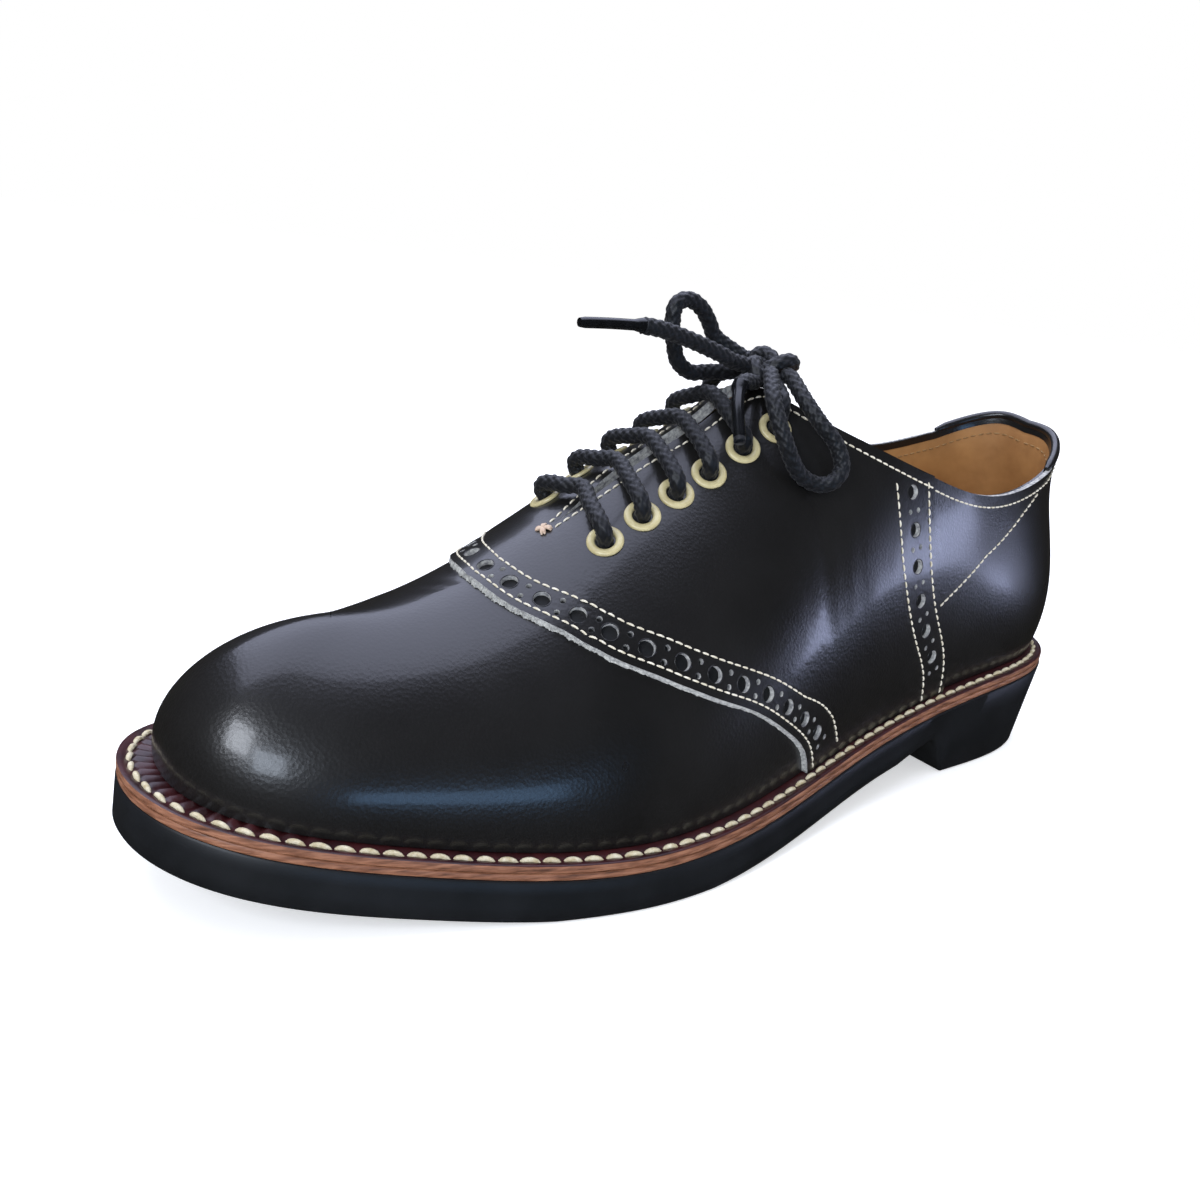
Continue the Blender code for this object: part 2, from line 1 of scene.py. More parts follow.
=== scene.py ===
import math
import bmesh
import bpy
import numpy as np
from mathutils import Matrix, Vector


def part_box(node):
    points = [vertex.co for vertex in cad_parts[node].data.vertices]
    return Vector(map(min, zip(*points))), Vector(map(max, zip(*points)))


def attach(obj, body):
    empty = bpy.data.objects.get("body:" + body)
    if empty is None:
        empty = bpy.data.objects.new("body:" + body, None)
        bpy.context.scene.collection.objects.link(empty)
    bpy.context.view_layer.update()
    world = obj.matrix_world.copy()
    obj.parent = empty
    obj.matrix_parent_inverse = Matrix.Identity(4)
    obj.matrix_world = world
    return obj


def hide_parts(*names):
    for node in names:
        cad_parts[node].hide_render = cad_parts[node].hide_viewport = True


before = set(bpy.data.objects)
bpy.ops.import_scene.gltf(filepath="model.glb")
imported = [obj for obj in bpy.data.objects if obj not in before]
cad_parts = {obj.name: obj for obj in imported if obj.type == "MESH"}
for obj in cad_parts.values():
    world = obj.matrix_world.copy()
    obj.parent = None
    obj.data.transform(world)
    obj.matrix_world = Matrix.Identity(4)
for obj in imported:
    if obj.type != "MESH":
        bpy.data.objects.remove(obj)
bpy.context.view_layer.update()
rng = np.random.default_rng(7)
print("frame loaded:", len(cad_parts), "nodes")

# The last, in millimetres: x from heel to toe, +y the outer side, z up. The solids follow the same tables.
last = dict(
    length=305.0, ball=107.8, instep=112.2, heelHeight=105.0, rubber=10.1, heelLift=19.6, toeSpring=13.2,
    midsole=1.5, welt=1.8, gap=0.3, roundHeel=6.8, roundToe=5.0, heelEnd=0.226, breastTop=0.262,
    throat=0.64, corner=0.475, slitGap=3.0, slitShift=1.0, wall=2.0, flare=0.6,
    sole=[(0.00, .3525, .000), (0.13, .3516, -.003), (0.38, .3395, .0445), (0.66, .500, .014),
          (0.84, .4258, -.008), (1.00, .4286, -.0065)],
    rise=[(0.00, 1.000, 0), (0.20, .821, 0), (0.42, .281, 0), (0.60, 0, 0), (0.74, 0, 0), (1.00, 0, 1)],
    slit=[(.475, 1.0), (.50, .77), (.60, .60), (.64, 0.0)],
    collar=[(0.00, 0.0), (0.20, 0.0), (0.38, 1.0), (1.00, 1.0)],
    # column, top x, top y, top z, side share, bulge, lead, outer fall, inner fall, inner raise, inset
    columns=[
        (0.000, .0393, .000, 1.000, .42, .079, .204, 99, 99, .000, .043),
        (0.100, .0492, .116, 0.981, .42, .074, .204, 98, 98, .028, .043),
        (0.200, .1049, .218, 0.900, .42, .056, .204, 94, 94, .038, .046),
        (0.300, .2066, .264, 0.811, .40, .037, .204, 90, 90, .037, .051),
        (0.380, .3148, .264, 0.840, .42, .032, .195, 82, 82, .027, .051),
        (0.425, .3951, .227, 0.906, .42, .028, .190, 68, 66, .014, .051),
        (0.455, .4459, .148, 0.961, .42, .028, .204, 51, 45, .004, .051),
        (0.475, .4738, .028, 1.000, .42, .028, .237, 35, 24, .000, .051),
        (0.520, .5246, .021, 0.936, .42, .028, .232, 30, 14, .000, .051),
        (0.580, .5934, .018, 0.823, .42, .028, .232, 26, 6, .000, .051),
        (0.640, .6656, .000, 0.682, .40, .028, .232, 12, -6, .000, .051),
        (0.720, .7279, .000, 0.594, .40, .028, .232, 5, -5, .000, .051),
        (0.820, .7934, .000, 0.535, .42, .023, .223, 0, 0, .000, .054),
        (0.920, .8426, .000, 0.519, .46, .023, .213, 0, 0, .000, .065),
        (1.000, .8557, .000, 0.517, .50, .028, .204, 0, 0, .000, .074)],
    crest=[(.6656, .682), (.695, .640), (.728, .5936), (.761, .559), (.793, .535), (.826, .5214),
           (.859, .517), (.902, .5036)],
    front=[(0.00, .478), (0.08, .489), (0.16, .512), (0.25, .542), (0.31, .567), (0.39, .594), (0.52, .632),
           (0.63, .655), (0.75, .686), (0.89, .7195), (1.00, .745)],
    # soft folds left by walking: sides, column, height, widths, lean, depth in mm
    creases=[((1, -1), .748, .93, .009, .22, .05, -.28), ((1, -1), .772, .90, .010, .20, .03, -.16),
             ((1,), .60, .30, .014, .16, -.10, -.30), ((-1,), .62, .34, .014, .16, -.10, -.35),
             ((1,), .43, .62, .016, .20, .06, -.22)],
    back=[(0.00, .333), (0.23, .345), (0.44, .365), (0.72, .379), (1.00, .384)])


def spline(rows, col=1):
    xs = np.array([r[0] for r in rows], float)
    ys = np.array([r[col] for r in rows], float)
    n, h = len(xs), np.diff(xs)
    a, b = np.eye(n), np.zeros(n)
    for i in range(1, n - 1):
        a[i, i - 1:i + 2] = h[i - 1], 2 * (h[i - 1] + h[i]), h[i]
        b[i] = 6 * ((ys[i + 1] - ys[i]) / h[i] - (ys[i] - ys[i - 1]) / h[i - 1])
    m = np.linalg.solve(a, b)

    def at(x):
        x = np.clip(x, xs[0], xs[-1])
        k = np.clip(np.searchsorted(xs, x) - 1, 0, n - 2)
        d, hk = x - xs[k], h[k]
        return (ys[k] + d * ((ys[k + 1] - ys[k]) / hk - hk * (2 * m[k] + m[k + 1]) / 6)
                + d * d * m[k] / 2 + d ** 3 * (m[k + 1] - m[k]) / (6 * hk))
    return at


def table(rows, x):
    return np.interp(x, *zip(*rows))


halfWidth, middleLine = spline(last["sole"]), spline(last["sole"], 2)
heelShare, toeShare = spline(last["rise"]), spline(last["rise"], 2)
(topX, topZ, sideShare, bulge, lead, outerFall, innerFall, innerRaise, inset) = (
    spline(last["columns"], k) for k in (1, 3, 4, 5, 6, 7, 8, 9, 10))
collarY = spline([r for r in last["columns"] if r[0] <= last["corner"]], 2)
crestShare = spline(last["crest"])
saddleFront, saddleBack = spline(last["front"]), spline(last["back"])
back, front = last["back"][-1][1], last["front"][-1][1]
band = last["gap"] + last["midsole"] + last["gap"] + last["welt"]


def rubberTop(s):
    return last["rubber"] + last["heelLift"] * heelShare(s) + last["toeSpring"] * toeShare(s)


def crest(x):
    return last["instep"] * crestShare(x / last["length"])


def share(t):
    return (1 - np.cos(np.pi * np.asarray(t, float))) / 2


def warp(c, v):   # column lines that run along both edges of the saddle
    c, v = np.broadcast_arrays(np.asarray(c, float), np.asarray(v, float))
    b, f = saddleBack(v), saddleFront(v)
    return np.where(c < back, c / back * b, np.where(
        c < front, b + (c - back) / (front - back) * (f - b), f + (c - front) / (1 - front) * (1 - f)))


def outline(t, side, move=0.0):   # the sole's edge, moved in by a distance, with its outward normal
    t = np.asarray(t, float)

    def edge(u):
        xi = 2 * share(u) - 1
        env = np.sqrt(np.maximum(1 - np.abs(xi) ** np.where(xi < 0, last["roundHeel"], last["roundToe"]), 0))
        env = env * np.where(np.sin(np.pi * u) < -1e-9, -1, 1)
        y = last["ball"] * (middleLine(share(u)) + side * halfWidth(share(u)) * env)
        return np.stack([last["length"] * share(u), y], -1)
    p, d = edge(t), edge(t + 1e-4) - edge(t - 1e-4)
    n = np.stack([-d[..., 1], d[..., 0]], -1) * side
    n /= np.linalg.norm(n, axis=-1)[..., None]
    return p - n * np.asarray(move, float)[..., None], n


def cage(t, side):   # foot, side, shoulder and top line of a section
    foot, n = outline(t, side, last["ball"] * inset(t))
    floor = rubberTop(foot[..., 0] / last["length"]) + band + last["gap"]
    base = np.concatenate([foot, floor[..., None]], -1)
    x = last["length"] * topX(t)
    height = last["heelHeight"] + (last["instep"] - last["heelHeight"]) * table(last["collar"], t)
    z = height * (topZ(t) + (innerRaise(t) if side < 0 else 0))
    slit = last["slitGap"] * table(last["slit"], t)
    y = side * np.where(t < last["corner"], last["ball"] * collarY(t), slit)
    vamp = t >= last["throat"] - 1e-9
    z = np.where(vamp, crest(x), z)
    y = np.where(vamp, 0, y) + last["slitShift"] * table([(.40, 0), (.48, 1), (.70, 1), (1, 0)], t)
    ridge = np.stack([x, y, z], -1)
    away = np.concatenate([n, 0 * n[..., :1]], -1)
    inward = base - ridge + away * 10
    inward[..., 2] = 0
    inward /= np.linalg.norm(inward, axis=-1)[..., None]
    upward = np.array([0, 0, 1.0])
    ease = np.clip((t - last["throat"] + .018) / .045, 0, 1)
    slope = (crest(x + .5) - crest(x - .5)) * ease * ease * (3 - 2 * ease)
    fall = np.radians(outerFall(t) if side > 0 else innerFall(t))
    rise, swell = sideShare(t) * (z - base[..., 2]), last["ball"] * bulge(t)
    flank = base + upward * rise[..., None] + away * swell[..., None]
    reach = last["ball"] * lead(t)
    drop = slope * inward[..., 0] * reach - reach * np.sin(fall)
    shoulder = ridge + inward * (reach * np.cos(fall))[..., None] + upward * drop[..., None]
    return base, flank, shoulder, ridge


def upper(t, v, side):   # the outside of the upper: column t from heel to toe, height v from welt to top line
    t, v = np.broadcast_arrays(np.asarray(t, float), np.asarray(v, float))
    base, flank, shoulder, ridge = cage(t, side)
    reach = .03 * table([(.37, 0), (.42, 1), (.52, 1), (.58, 0)], t)
    flank, shoulder = 0 * flank, 0 * shoulder
    for k, w in ((-1, .14), (-.5, .22), (0, .28), (.5, .22), (1, .14)):
        _, a, b, _ = cage(t + k * reach, side)
        flank, shoulder = flank + w * a, shoulder + w * b
    v = v[..., None]
    p = (1 - v) ** 3 * base + 3 * (1 - v) ** 2 * v * flank + 3 * (1 - v) * v * v * shoulder + v ** 3 * ridge
    for sides, ct, cv, wide, tall, lean, depth in last["creases"]:
        if side in sides:
            a = ((t - ct) - lean * (v[..., 0] - cv)) / wide
            b = (v[..., 0] - cv) / tall
            p[..., 2] += depth * np.exp(-a * a - b * b)
    return p


def surface(t, v, side, lift=0.0):   # points on the leather and their outward normals
    e = 2e-3
    dt = upper(np.minimum(t + e, 1), v, side) - upper(np.maximum(t - e, 0), v, side)
    dv = upper(t, np.minimum(v + e, 1), side) - upper(t, np.maximum(v - e, 0), side)
    n = np.cross(dv, dt) * side
    n /= np.linalg.norm(n, axis=-1)[..., None]
    return upper(t, v, side) + n * np.asarray(lift)[..., None], n


def slide(t, v, side, move):   # columns and heights after a move over the leather, in mm
    t, v = np.array(t, float), np.array(v, float)
    goal = upper(t, v, side) + move
    e = 1e-3
    for _ in range(4):
        p = upper(t, v, side)
        a = (upper(t + e, v, side) - upper(t - e, v, side)) / (2 * e)
        b = (upper(t, v + e, side) - upper(t, v - e, side)) / (2 * e)
        r = goal - p
        aa, bb, ab = (a * a).sum(-1), (b * b).sum(-1), (a * b).sum(-1)
        ra, rb = (r * a).sum(-1), (r * b).sum(-1)
        det = aa * bb - ab * ab
        t = np.clip(t + (ra * bb - rb * ab) / det, .002, .998)
        v = v + (rb * aa - ra * ab) / det
    return t, v


soleEdge = [outline(np.linspace(0, 1, 2001), s, -last["flare"])[0] for s in (1, -1)]
shiftY = (soleEdge[0][:, 1].max() + soleEdge[1][:, 1].min()) / 2
shift = np.array([-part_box("outsole")[0].x * 1000, shiftY, 0.0])


def toFrame(p):   # millimetres on the last to metres in the frame
    return (np.asarray(p, float) - shift) * .001


# Materials
def hexColour(text):   # sRGB hex to linear
    c = [int(text[i:i + 2], 16) / 255 for i in (1, 3, 5)]
    return [x / 12.92 if x <= .04045 else ((x + .055) / 1.055) ** 2.4 for x in c] + [1]


def addNode(tree, kind, settings=None, links=None):   # settings by name or socket, links from (node, output)
    node = tree.nodes.new(kind)
    for key, value in (settings or {}).items():
        if isinstance(key, int) or key in node.inputs:
            node.inputs[key].default_value = value
        else:
            setattr(node, key, value)
    for key, (source, output) in (links or {}).items():
        tree.links.new(source.outputs[output], node.inputs[key])
    return node


def newMaterial(name, **values):
    mat = bpy.data.materials.new(name)
    mat.use_nodes = True
    shader = mat.node_tree.nodes["Principled BSDF"]
    for key, value in values.items():
        shader.inputs[key.replace("_", " ")].default_value = value
    coords = addNode(mat.node_tree, "ShaderNodeTexCoord")
    return mat, mat.node_tree, shader, coords


def perMetre(mm):   # texture scale for features this many millimetres apart
    return 1000 / mm


def addNoise(tree, source, mm, detail, **more):   # noise with features this many millimetres apart
    settings = dict(Scale=perMetre(mm), Detail=detail, **more)
    return addNode(tree, "ShaderNodeTexNoise", settings, {"Vector": source})


def addBump(tree, shader, height, output, distanceMm, strength=1.0, before=None):
    links = {"Height": (height, output)}
    if before:
        links["Normal"] = (before, "Normal")
    node = addNode(tree, "ShaderNodeBump", {"Strength": strength, "Distance": distanceMm / 1000}, links)
    tree.links.new(node.outputs["Normal"], shader.inputs["Normal"])
    return node


def mixColour(tree, shader, factor, output, low, high, places=(.35, .65)):
    ramp = addNode(tree, "ShaderNodeValToRGB", {}, {"Fac": (factor, output)})
    ramp.color_ramp.elements[0].position, ramp.color_ramp.elements[1].position = places
    ramp.color_ramp.elements[0].color, ramp.color_ramp.elements[1].color = hexColour(low), hexColour(high)
    tree.links.new(ramp.outputs["Color"], shader.inputs["Base Color"])
    return ramp


boxCalf = dict(colour="#131211", haze="#1a1918", roughness=.29, grainMm=.85, grainDepth=.034,
               poreMm=.3, poreDepth=.012, coat=.35, coatRoughness=.12, driftMm=38.0)


def makeBoxCalf(name, piece):
    # black box calf, plated and glazed: an even dark gloss whose reflections break up over a fine grain
    mat, tree, shader, coords = newMaterial(
        name, Roughness=piece["roughness"], Coat_Weight=piece["coat"], Coat_Roughness=piece["coatRoughness"])
    here = (coords, "Object")
    drift = addNoise(tree, here, piece["driftMm"], 3.0)
    mixColour(tree, shader, drift, "Fac", piece["colour"], piece["haze"])
    limits = {"To Min": piece["roughness"] - .05, "To Max": piece["roughness"] + .06}
    rough = addNode(tree, "ShaderNodeMapRange", limits, {"Value": (drift, "Fac")})
    tree.links.new(rough.outputs["Result"], shader.inputs["Roughness"])
    grain = addNode(tree, "ShaderNodeTexVoronoi", {"Scale": perMetre(piece["grainMm"]), "Randomness": 1.0},
                    {"Vector": here})
    first = addBump(tree, shader, grain, "Distance", piece["grainDepth"])
    pores = addNoise(tree, here, piece["poreMm"], 2.0)
    addBump(tree, shader, pores, "Fac", piece["poreDepth"], 1.0, first)
    return mat


def makePlain(name, colour, dark, roughness, patchMm, bumpMm, depth, **more):
    mat, tree, shader, coords = newMaterial(name, Roughness=roughness, **more)
    here = (coords, "Object")
    patch = addNoise(tree, here, patchMm, 4.0, Roughness=.6)
    mixColour(tree, shader, patch, "Fac", dark, colour)
    relief = addNoise(tree, here, bumpMm, 3.0)
    addBump(tree, shader, relief, "Fac", depth)
    return mat


def makeBurnishedEdge(name):
    # veg-tanned leather, cut, stained brown and burnished: fibres run along the edge in dark streaks
    mat, tree, shader, coords = newMaterial(name, Roughness=.42)
    flat = addNode(tree, "ShaderNodeMapping", {"Scale": (1, 1, 9)}, {"Vector": (coords, "Object")})
    streak = addNoise(tree, (flat, "Vector"), 6.5, 6.0, Roughness=.65)
    ramp = mixColour(tree, shader, streak, "Fac", "#4f2f1e", "#95654a", (.30, .62))
    ramp.color_ramp.elements.new(.46).color = hexColour("#774b33")
    addBump(tree, shader, streak, "Fac", .12, .8)
    return mat


leatherBlack = makeBoxCalf("glazed box calf", boxCalf)
leatherEdge = makePlain("cut leather edge, grey fibre", "#c9c9c4", "#77777a", .9, 1.2, .35, .12)
feltEdge = makePlain("raw underlay edge, fuzzy", "#b9b9b3", "#7d7d7c", .95, .9, .3, .2)
liningTan = makePlain("tan lining calf, matte", "#bd8b54", "#9a6c3d", .62, 24.0, .5, .02)
sockTan = makePlain("tan sock leather, matte", "#a57a4a", "#8a6236", .6, 30.0, .5, .02)
weltOxblood = makePlain("oxblood waxed welt leather", "#43191b", "#2a0d10", .38, 7.0, 1.1, .05,
                        Coat_Weight=.15, Coat_Roughness=.3)
edgeBrown = makeBurnishedEdge("burnished brown sole edge")
rubberBlack = makePlain("moulded black rubber, satin", "#17191c", "#101214", .46, 18.0, .35, .012)
enamelCream = makePlain("cream enamelled brass eyelet", "#c4b98c", "#ada176", .33, 4.0, .6, .01,
                        Coat_Weight=.3, Coat_Roughness=.2)
threadCream = makePlain("cream waxed linen thread", "#dcd3b8", "#b8a983", .6, 1.5, .25, .05)
threadFine = makePlain("ivory polyester stitch thread", "#e2dccb", "#c4bba2", .55, 1.5, .2, .04)
threadTan = makePlain("tan lining thread", "#a98555", "#8c6a3e", .6, 1.5, .2, .04)
threadTack = makePlain("cream-pink bar tack thread", "#d9c3ae", "#b79c86", .6, 1.5, .2, .04)
cottonBlack = makePlain("black waxed cotton braid", "#101218", "#060709", .5, 1.6, .22, .05, Sheen_Weight=.08,
                        Sheen_Roughness=.5)
tipBlack = makePlain("heat-shrunk black lace tip", "#0e0f11", "#08090a", .22, 3.0, .8, .01)
# near-black matte colour for the floor of each punched hole: painted shade, darker and duller than the black
# leather that lies under the holes
holeFloorPaintedShade = makePlain("floor of a punched hole, painted shade", "#0a0a0b", "#050506", .7, 2.0, .4, .02)
print("materials ready")


# Meshes
def newPiece(name, verts, faces, materials, faceSlots=None, sharp=40, recalc=True):
    mesh = bpy.data.meshes.new(name)
    mesh.from_pydata(toFrame(verts).tolist(), [], [list(f) for f in faces])
    for mat in materials:
        mesh.materials.append(mat)
    if faceSlots is not None:
        mesh.polygons.foreach_set("material_index", np.asarray(faceSlots, np.int32))
    ob = bpy.data.objects.new(name, mesh)
    bpy.context.scene.collection.objects.link(ob)
    if recalc:
        bm = bmesh.new()
        bm.from_mesh(mesh)
        bmesh.ops.recalc_face_normals(bm, faces=bm.faces)
        bm.to_mesh(mesh)
        bm.free()
    mesh.shade_smooth()
    mesh.set_sharp_from_angle(angle=math.radians(sharp))
    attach(ob, "root")
    return ob


def weld(grids):   # grids of points, each with its side, joined into one sheet of quads
    points = np.concatenate([g.reshape(-1, 3) for g, _ in grids])
    keys = np.round(points, 3)
    _, first, index = np.unique(keys, axis=0, return_index=True, return_inverse=True)
    index = index.ravel()
    verts, faces, start = points[first], [], 0
    for g, side in grids:
        n, m = g.shape[:2]
        ids = index[start:start + n * m].reshape(n, m)
        start += n * m
        quads = np.stack([ids[:-1, :-1], ids[:-1, 1:], ids[1:, 1:], ids[1:, :-1]], -1).reshape(-1, 4)
        faces.append(quads if side > 0 else quads[:, ::-1])
    return verts, np.concatenate(faces)


def vertexNormals(verts, quads):
    n = np.cross(verts[quads[:, 2]] - verts[quads[:, 0]], verts[quads[:, 3]] - verts[quads[:, 1]])
    out = np.zeros_like(verts)
    for k in range(4):
        np.add.at(out, quads[:, k], n)
    around = out[quads].sum(1)
    for k in range(4):   # evened over the neighbours, so the pole at the toe stays smooth
        np.add.at(out, quads[:, k], around)
    return out / np.maximum(np.linalg.norm(out, axis=1), 1e-12)[:, None]


def solid(name, grids, inner, outer, materials, rim=1):
    # a closed skin between two offsets of a sheet; the rim can have its own material
    verts, quads = weld(grids)
    normals = vertexNormals(verts, quads)
    k = len(verts)
    faces, kinds = [], []
    edges = set()
    for turn, q in [(0, q) for q in quads] + [(1, q[::-1] + k) for q in quads]:
        q = [i for j, i in enumerate(q) if i != q[j - 1]]
        if len(q) > 2:
            faces.append(q)
            kinds.append(0)
            if not turn:
                edges.update(zip(q, q[1:] + q[:1]))
    for a, b in sorted(edges):
        if (b, a) not in edges:
            faces.append([b, a, a + k, b + k])
            kinds.append(rim)
    both = np.vstack([verts + normals * outer, verts + normals * inner])
    return newPiece(name, both, faces, materials, kinds)


def frames(path):   # directions along a cord, carried on without twist
    line = np.array(path, float)
    ahead = np.gradient(line, axis=0)
    ahead /= np.linalg.norm(ahead, axis=1)[:, None]
    aside, out = np.cross(ahead[0], [.3, .2, 1.0]), []
    for t in ahead:
        aside = aside - t * aside.dot(t)
        aside = aside / np.linalg.norm(aside)
        out.append(aside)
    aside = np.array(out)
    return line, ahead, aside, np.cross(ahead, aside)


def tubeMesh(path, radius, sides):   # radius may vary over rings and round them
    line, ahead, aside, above = frames(path)
    a = 2 * np.pi * np.arange(sides) / sides
    r = np.broadcast_to(radius, (len(line), sides))[..., None]
    spokes = np.cos(a)[None, :, None] * aside[:, None] + np.sin(a)[None, :, None] * above[:, None]
    verts = (line[:, None] + r * spokes).reshape(-1, 3)
    i, j = np.meshgrid(np.arange(len(line) - 1), np.arange(sides), indexing="ij")
    i, k = i * sides, (j + 1) % sides
    quads = np.stack([i + j, i + k, i + sides + k, i + sides + j], -1).reshape(-1, 4)
    ends = [list(range(sides))[::-1], [(len(line) - 1) * sides + j for j in range(sides)]]
    return verts, quads.tolist() + ends


def joined(parts):   # several (verts, faces) as one
    verts, faces, k = [], [], 0
    for v, f in parts:
        verts.append(v)
        faces += [[i + k for i in q] for q in f]
        k += len(v)
    return np.concatenate(verts), faces


def smoothLine(points, step):   # Catmull-Rom through given points, read out at an even step
    line = [np.array(p, float) for p in points]
    line = [2 * line[0] - line[1]] + line + [2 * line[-1] - line[-2]]
    u, out = np.linspace(0, 1, 24, endpoint=False), []
    for a, b, c, d in zip(line, line[1:], line[2:], line[3:]):
        for w in u:
            out.append(.5 * (2 * b + (c - a) * w + (2 * a - 5 * b + 4 * c - d) * w * w
                             + (3 * b - a - 3 * c + d) * w ** 3))
    return evenly(np.array(out + [line[-2]]), step)


def runLength(line):   # distance along a line at each of its points
    return np.concatenate([[0], np.cumsum(np.linalg.norm(np.diff(line, axis=0), axis=1))])


def evenly(line, step):
    along = runLength(line)
    at = np.linspace(0, along[-1], max(3, int(round(along[-1] / step)) + 1))
    return np.stack([np.interp(at, along, line[:, k]) for k in range(line.shape[1])], -1)


stitchForm = dict(   # rise and thickness over a stitch's length, unevenness, and the least length kept
    rise=(-1.1, .15, .75, 1, .75, .15, -1.1), body=(.55, .9, 1, 1.02, 1, .9, .55), uneven=.06, least=.3)


def stitches(name, rows, piece, material):
    # thread over the leather: each stitch a short plump tube that dives in at both ends
    parts = []
    for line, normals in rows:
        both = np.concatenate([line, normals], 1)
        along = runLength(line)
        count = max(1, int(along[-1] / piece["pitch"]))
        pitch = along[-1] / count
        for k in range(count):
            length = piece["length"] * (1 + stitchForm["uneven"] * rng.standard_normal())
            at = np.clip((k + .5) * pitch + np.linspace(-.5, .5, 7) * length, 0, along[-1])
            p = np.stack([np.interp(at, along, both[:, j]) for j in range(6)], -1)
            n = p[:, 3:] / np.linalg.norm(p[:, 3:], axis=1)[:, None]
            rise = piece["rise"] * np.array(stitchForm["rise"])
            t = p[-1, :3] - p[0, :3]
            size = np.linalg.norm(t)
            if size < stitchForm["least"] * piece["length"]:
                continue
            across = np.cross(t / size, n[3])
            skew = piece.get("skew", 0) * np.linspace(-1, 1, 7)
            path = p[:, :3] + n * rise[:, None] + across * skew[:, None]
            body = piece["radius"] * np.array(stitchForm["body"])[:, None]
            parts.append(tubeMesh(path, body, piece.get("sides", 7)))
    verts, faces = joined(parts)
    newPiece(name, verts, faces, [material], recalc=False)


# Upper: outer leather and tan lining
upperPiece = dict(columns=150, rises=44, leather=1.35, liningGap=.02, lining=.6, liningRises=30,
                  liningTop=.976)


def columnsFor(n, start=0.0, end=1.0):   # even columns, and those where the shape turns
    turns = [c for c in (back, last["corner"], last["throat"], front) if start <= c <= end]
    return np.unique(np.round(np.concatenate([np.linspace(start, end, n), turns]), 5))


def risesFor(n):
    return np.sin(np.linspace(0, np.pi / 2, n)) ** .9


def skin(columns, rises, side):
    c, v = np.meshgrid(columns, rises, indexing="ij")
    return upper(warp(c, v), v, side)


def makeUpper():
    cols, rises = columnsFor(upperPiece["columns"]), risesFor(upperPiece["rises"])
    grids = [(skin(cols, rises, s), s) for s in (1, -1)]
    shell = solid("upperLeather", grids, -upperPiece["leather"], 0.0, [leatherBlack, leatherEdge],
                  rim=1)
    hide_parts("upper")
    collarCols = cols[cols <= last["corner"] + .001]
    rises = risesFor(upperPiece["liningRises"])
    outer = -upperPiece["leather"] - upperPiece["liningGap"]
    inner = outer - upperPiece["lining"]
    inside = [(skin(cols, rises * upperPiece["liningTop"], s), s) for s in (1, -1)]
    solid("liningTan", inside, inner, outer, [liningTan], rim=0)
    # a black strip of the binding shows inside the collar above the lining
    strip = np.linspace(upperPiece["liningTop"] - .012, .9985, 5)
    bind = [(skin(collarCols, strip, s), s) for s in (1, -1)]
    solid("collarFacing", bind, inner - .25, outer, [leatherBlack], rim=0)


makeUpper()
print("upper and lining made")

# Saddle: the overlay across the instep, with its punched holes
saddlePiece = dict(
    columns=96, rises=64, low=.05, thick=1.45, hole=2.05, pin=.75, pinApart=1.75, rowPoints=240, rowEnd=.968,
    lastHole=5.0,
    punched=[("front", 0.0, 9.2, 5.0), ("back", 3.4, 10.6, 4.0)])   # edge, first hole, pitch, last pinholes
bandRows = dict(   # distance from the edge over the height share, in mm
    frontFirst=[(0, 2.4), (.1, 2.1), (1, 2.0)], frontHoles=[(0, 8.0), (.1, 5.6), (.2, 5.2), (1, 5.2)],
    frontSecond=[(0, 14.5), (.06, 13.5), (.14, 10.2), (.25, 9.2), (1, 9.0)],
    backFirst=[(0, 2.2), (1, 2.6)], backHoles=[(0, 6.6), (.4, 8.0), (1, 9.4)],
    backSecond=[(0, 11.0), (.3, 12.4), (.7, 15.4), (1, 15.8)])


def bandLine(edge, rowName, side):
    # a row along the saddle's front or back edge: columns, heights, points and normals
    v = np.linspace(0, 1, saddlePiece["rowPoints"])
    t = (saddleFront if edge == "front" else saddleBack)(v)
    p, n = surface(t, v, side)
    tangent = np.gradient(p, axis=0)
    tangent /= np.linalg.norm(tangent, axis=1)[:, None]
    away = np.cross(n, tangent) * side
    heel = -1 if edge == "front" else 1
    flip = np.sign((away[:, 0] * heel).mean())
    t, v = slide(t, v, side, away * flip * table(bandRows[rowName], v)[:, None])
    keep = (v > .004) & (v <= .999) & (v < (saddlePiece["rowEnd"] if edge == "back" else 1))
    t, v = t[keep], v[keep]
    if edge == "front":   # carried on to the middle line; the back rows end at the collar's stitches
        rest = np.linspace(v[-1], 1.0, 14)[1:]
        t = np.concatenate([t, t[-1] + (t[-1] - t[-9]) / (v[-1] - v[-9]) * (rest - v[-1])])
        v = np.concatenate([v, rest])
    p, n = surface(t, v, side)
    return t, v, p, n


def makeSaddle():
    cols, rises = columnsFor(saddlePiece["columns"], back, front), risesFor(saddlePiece["rises"])
    grids = [(skin(cols, rises, s), s) for s in (1, -1)]
    ob = solid("saddleOverlay", grids, saddlePiece["low"], saddlePiece["low"] + saddlePiece["thick"],
               [leatherBlack, leatherEdge], rim=1)
    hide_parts("saddle")
    return ob


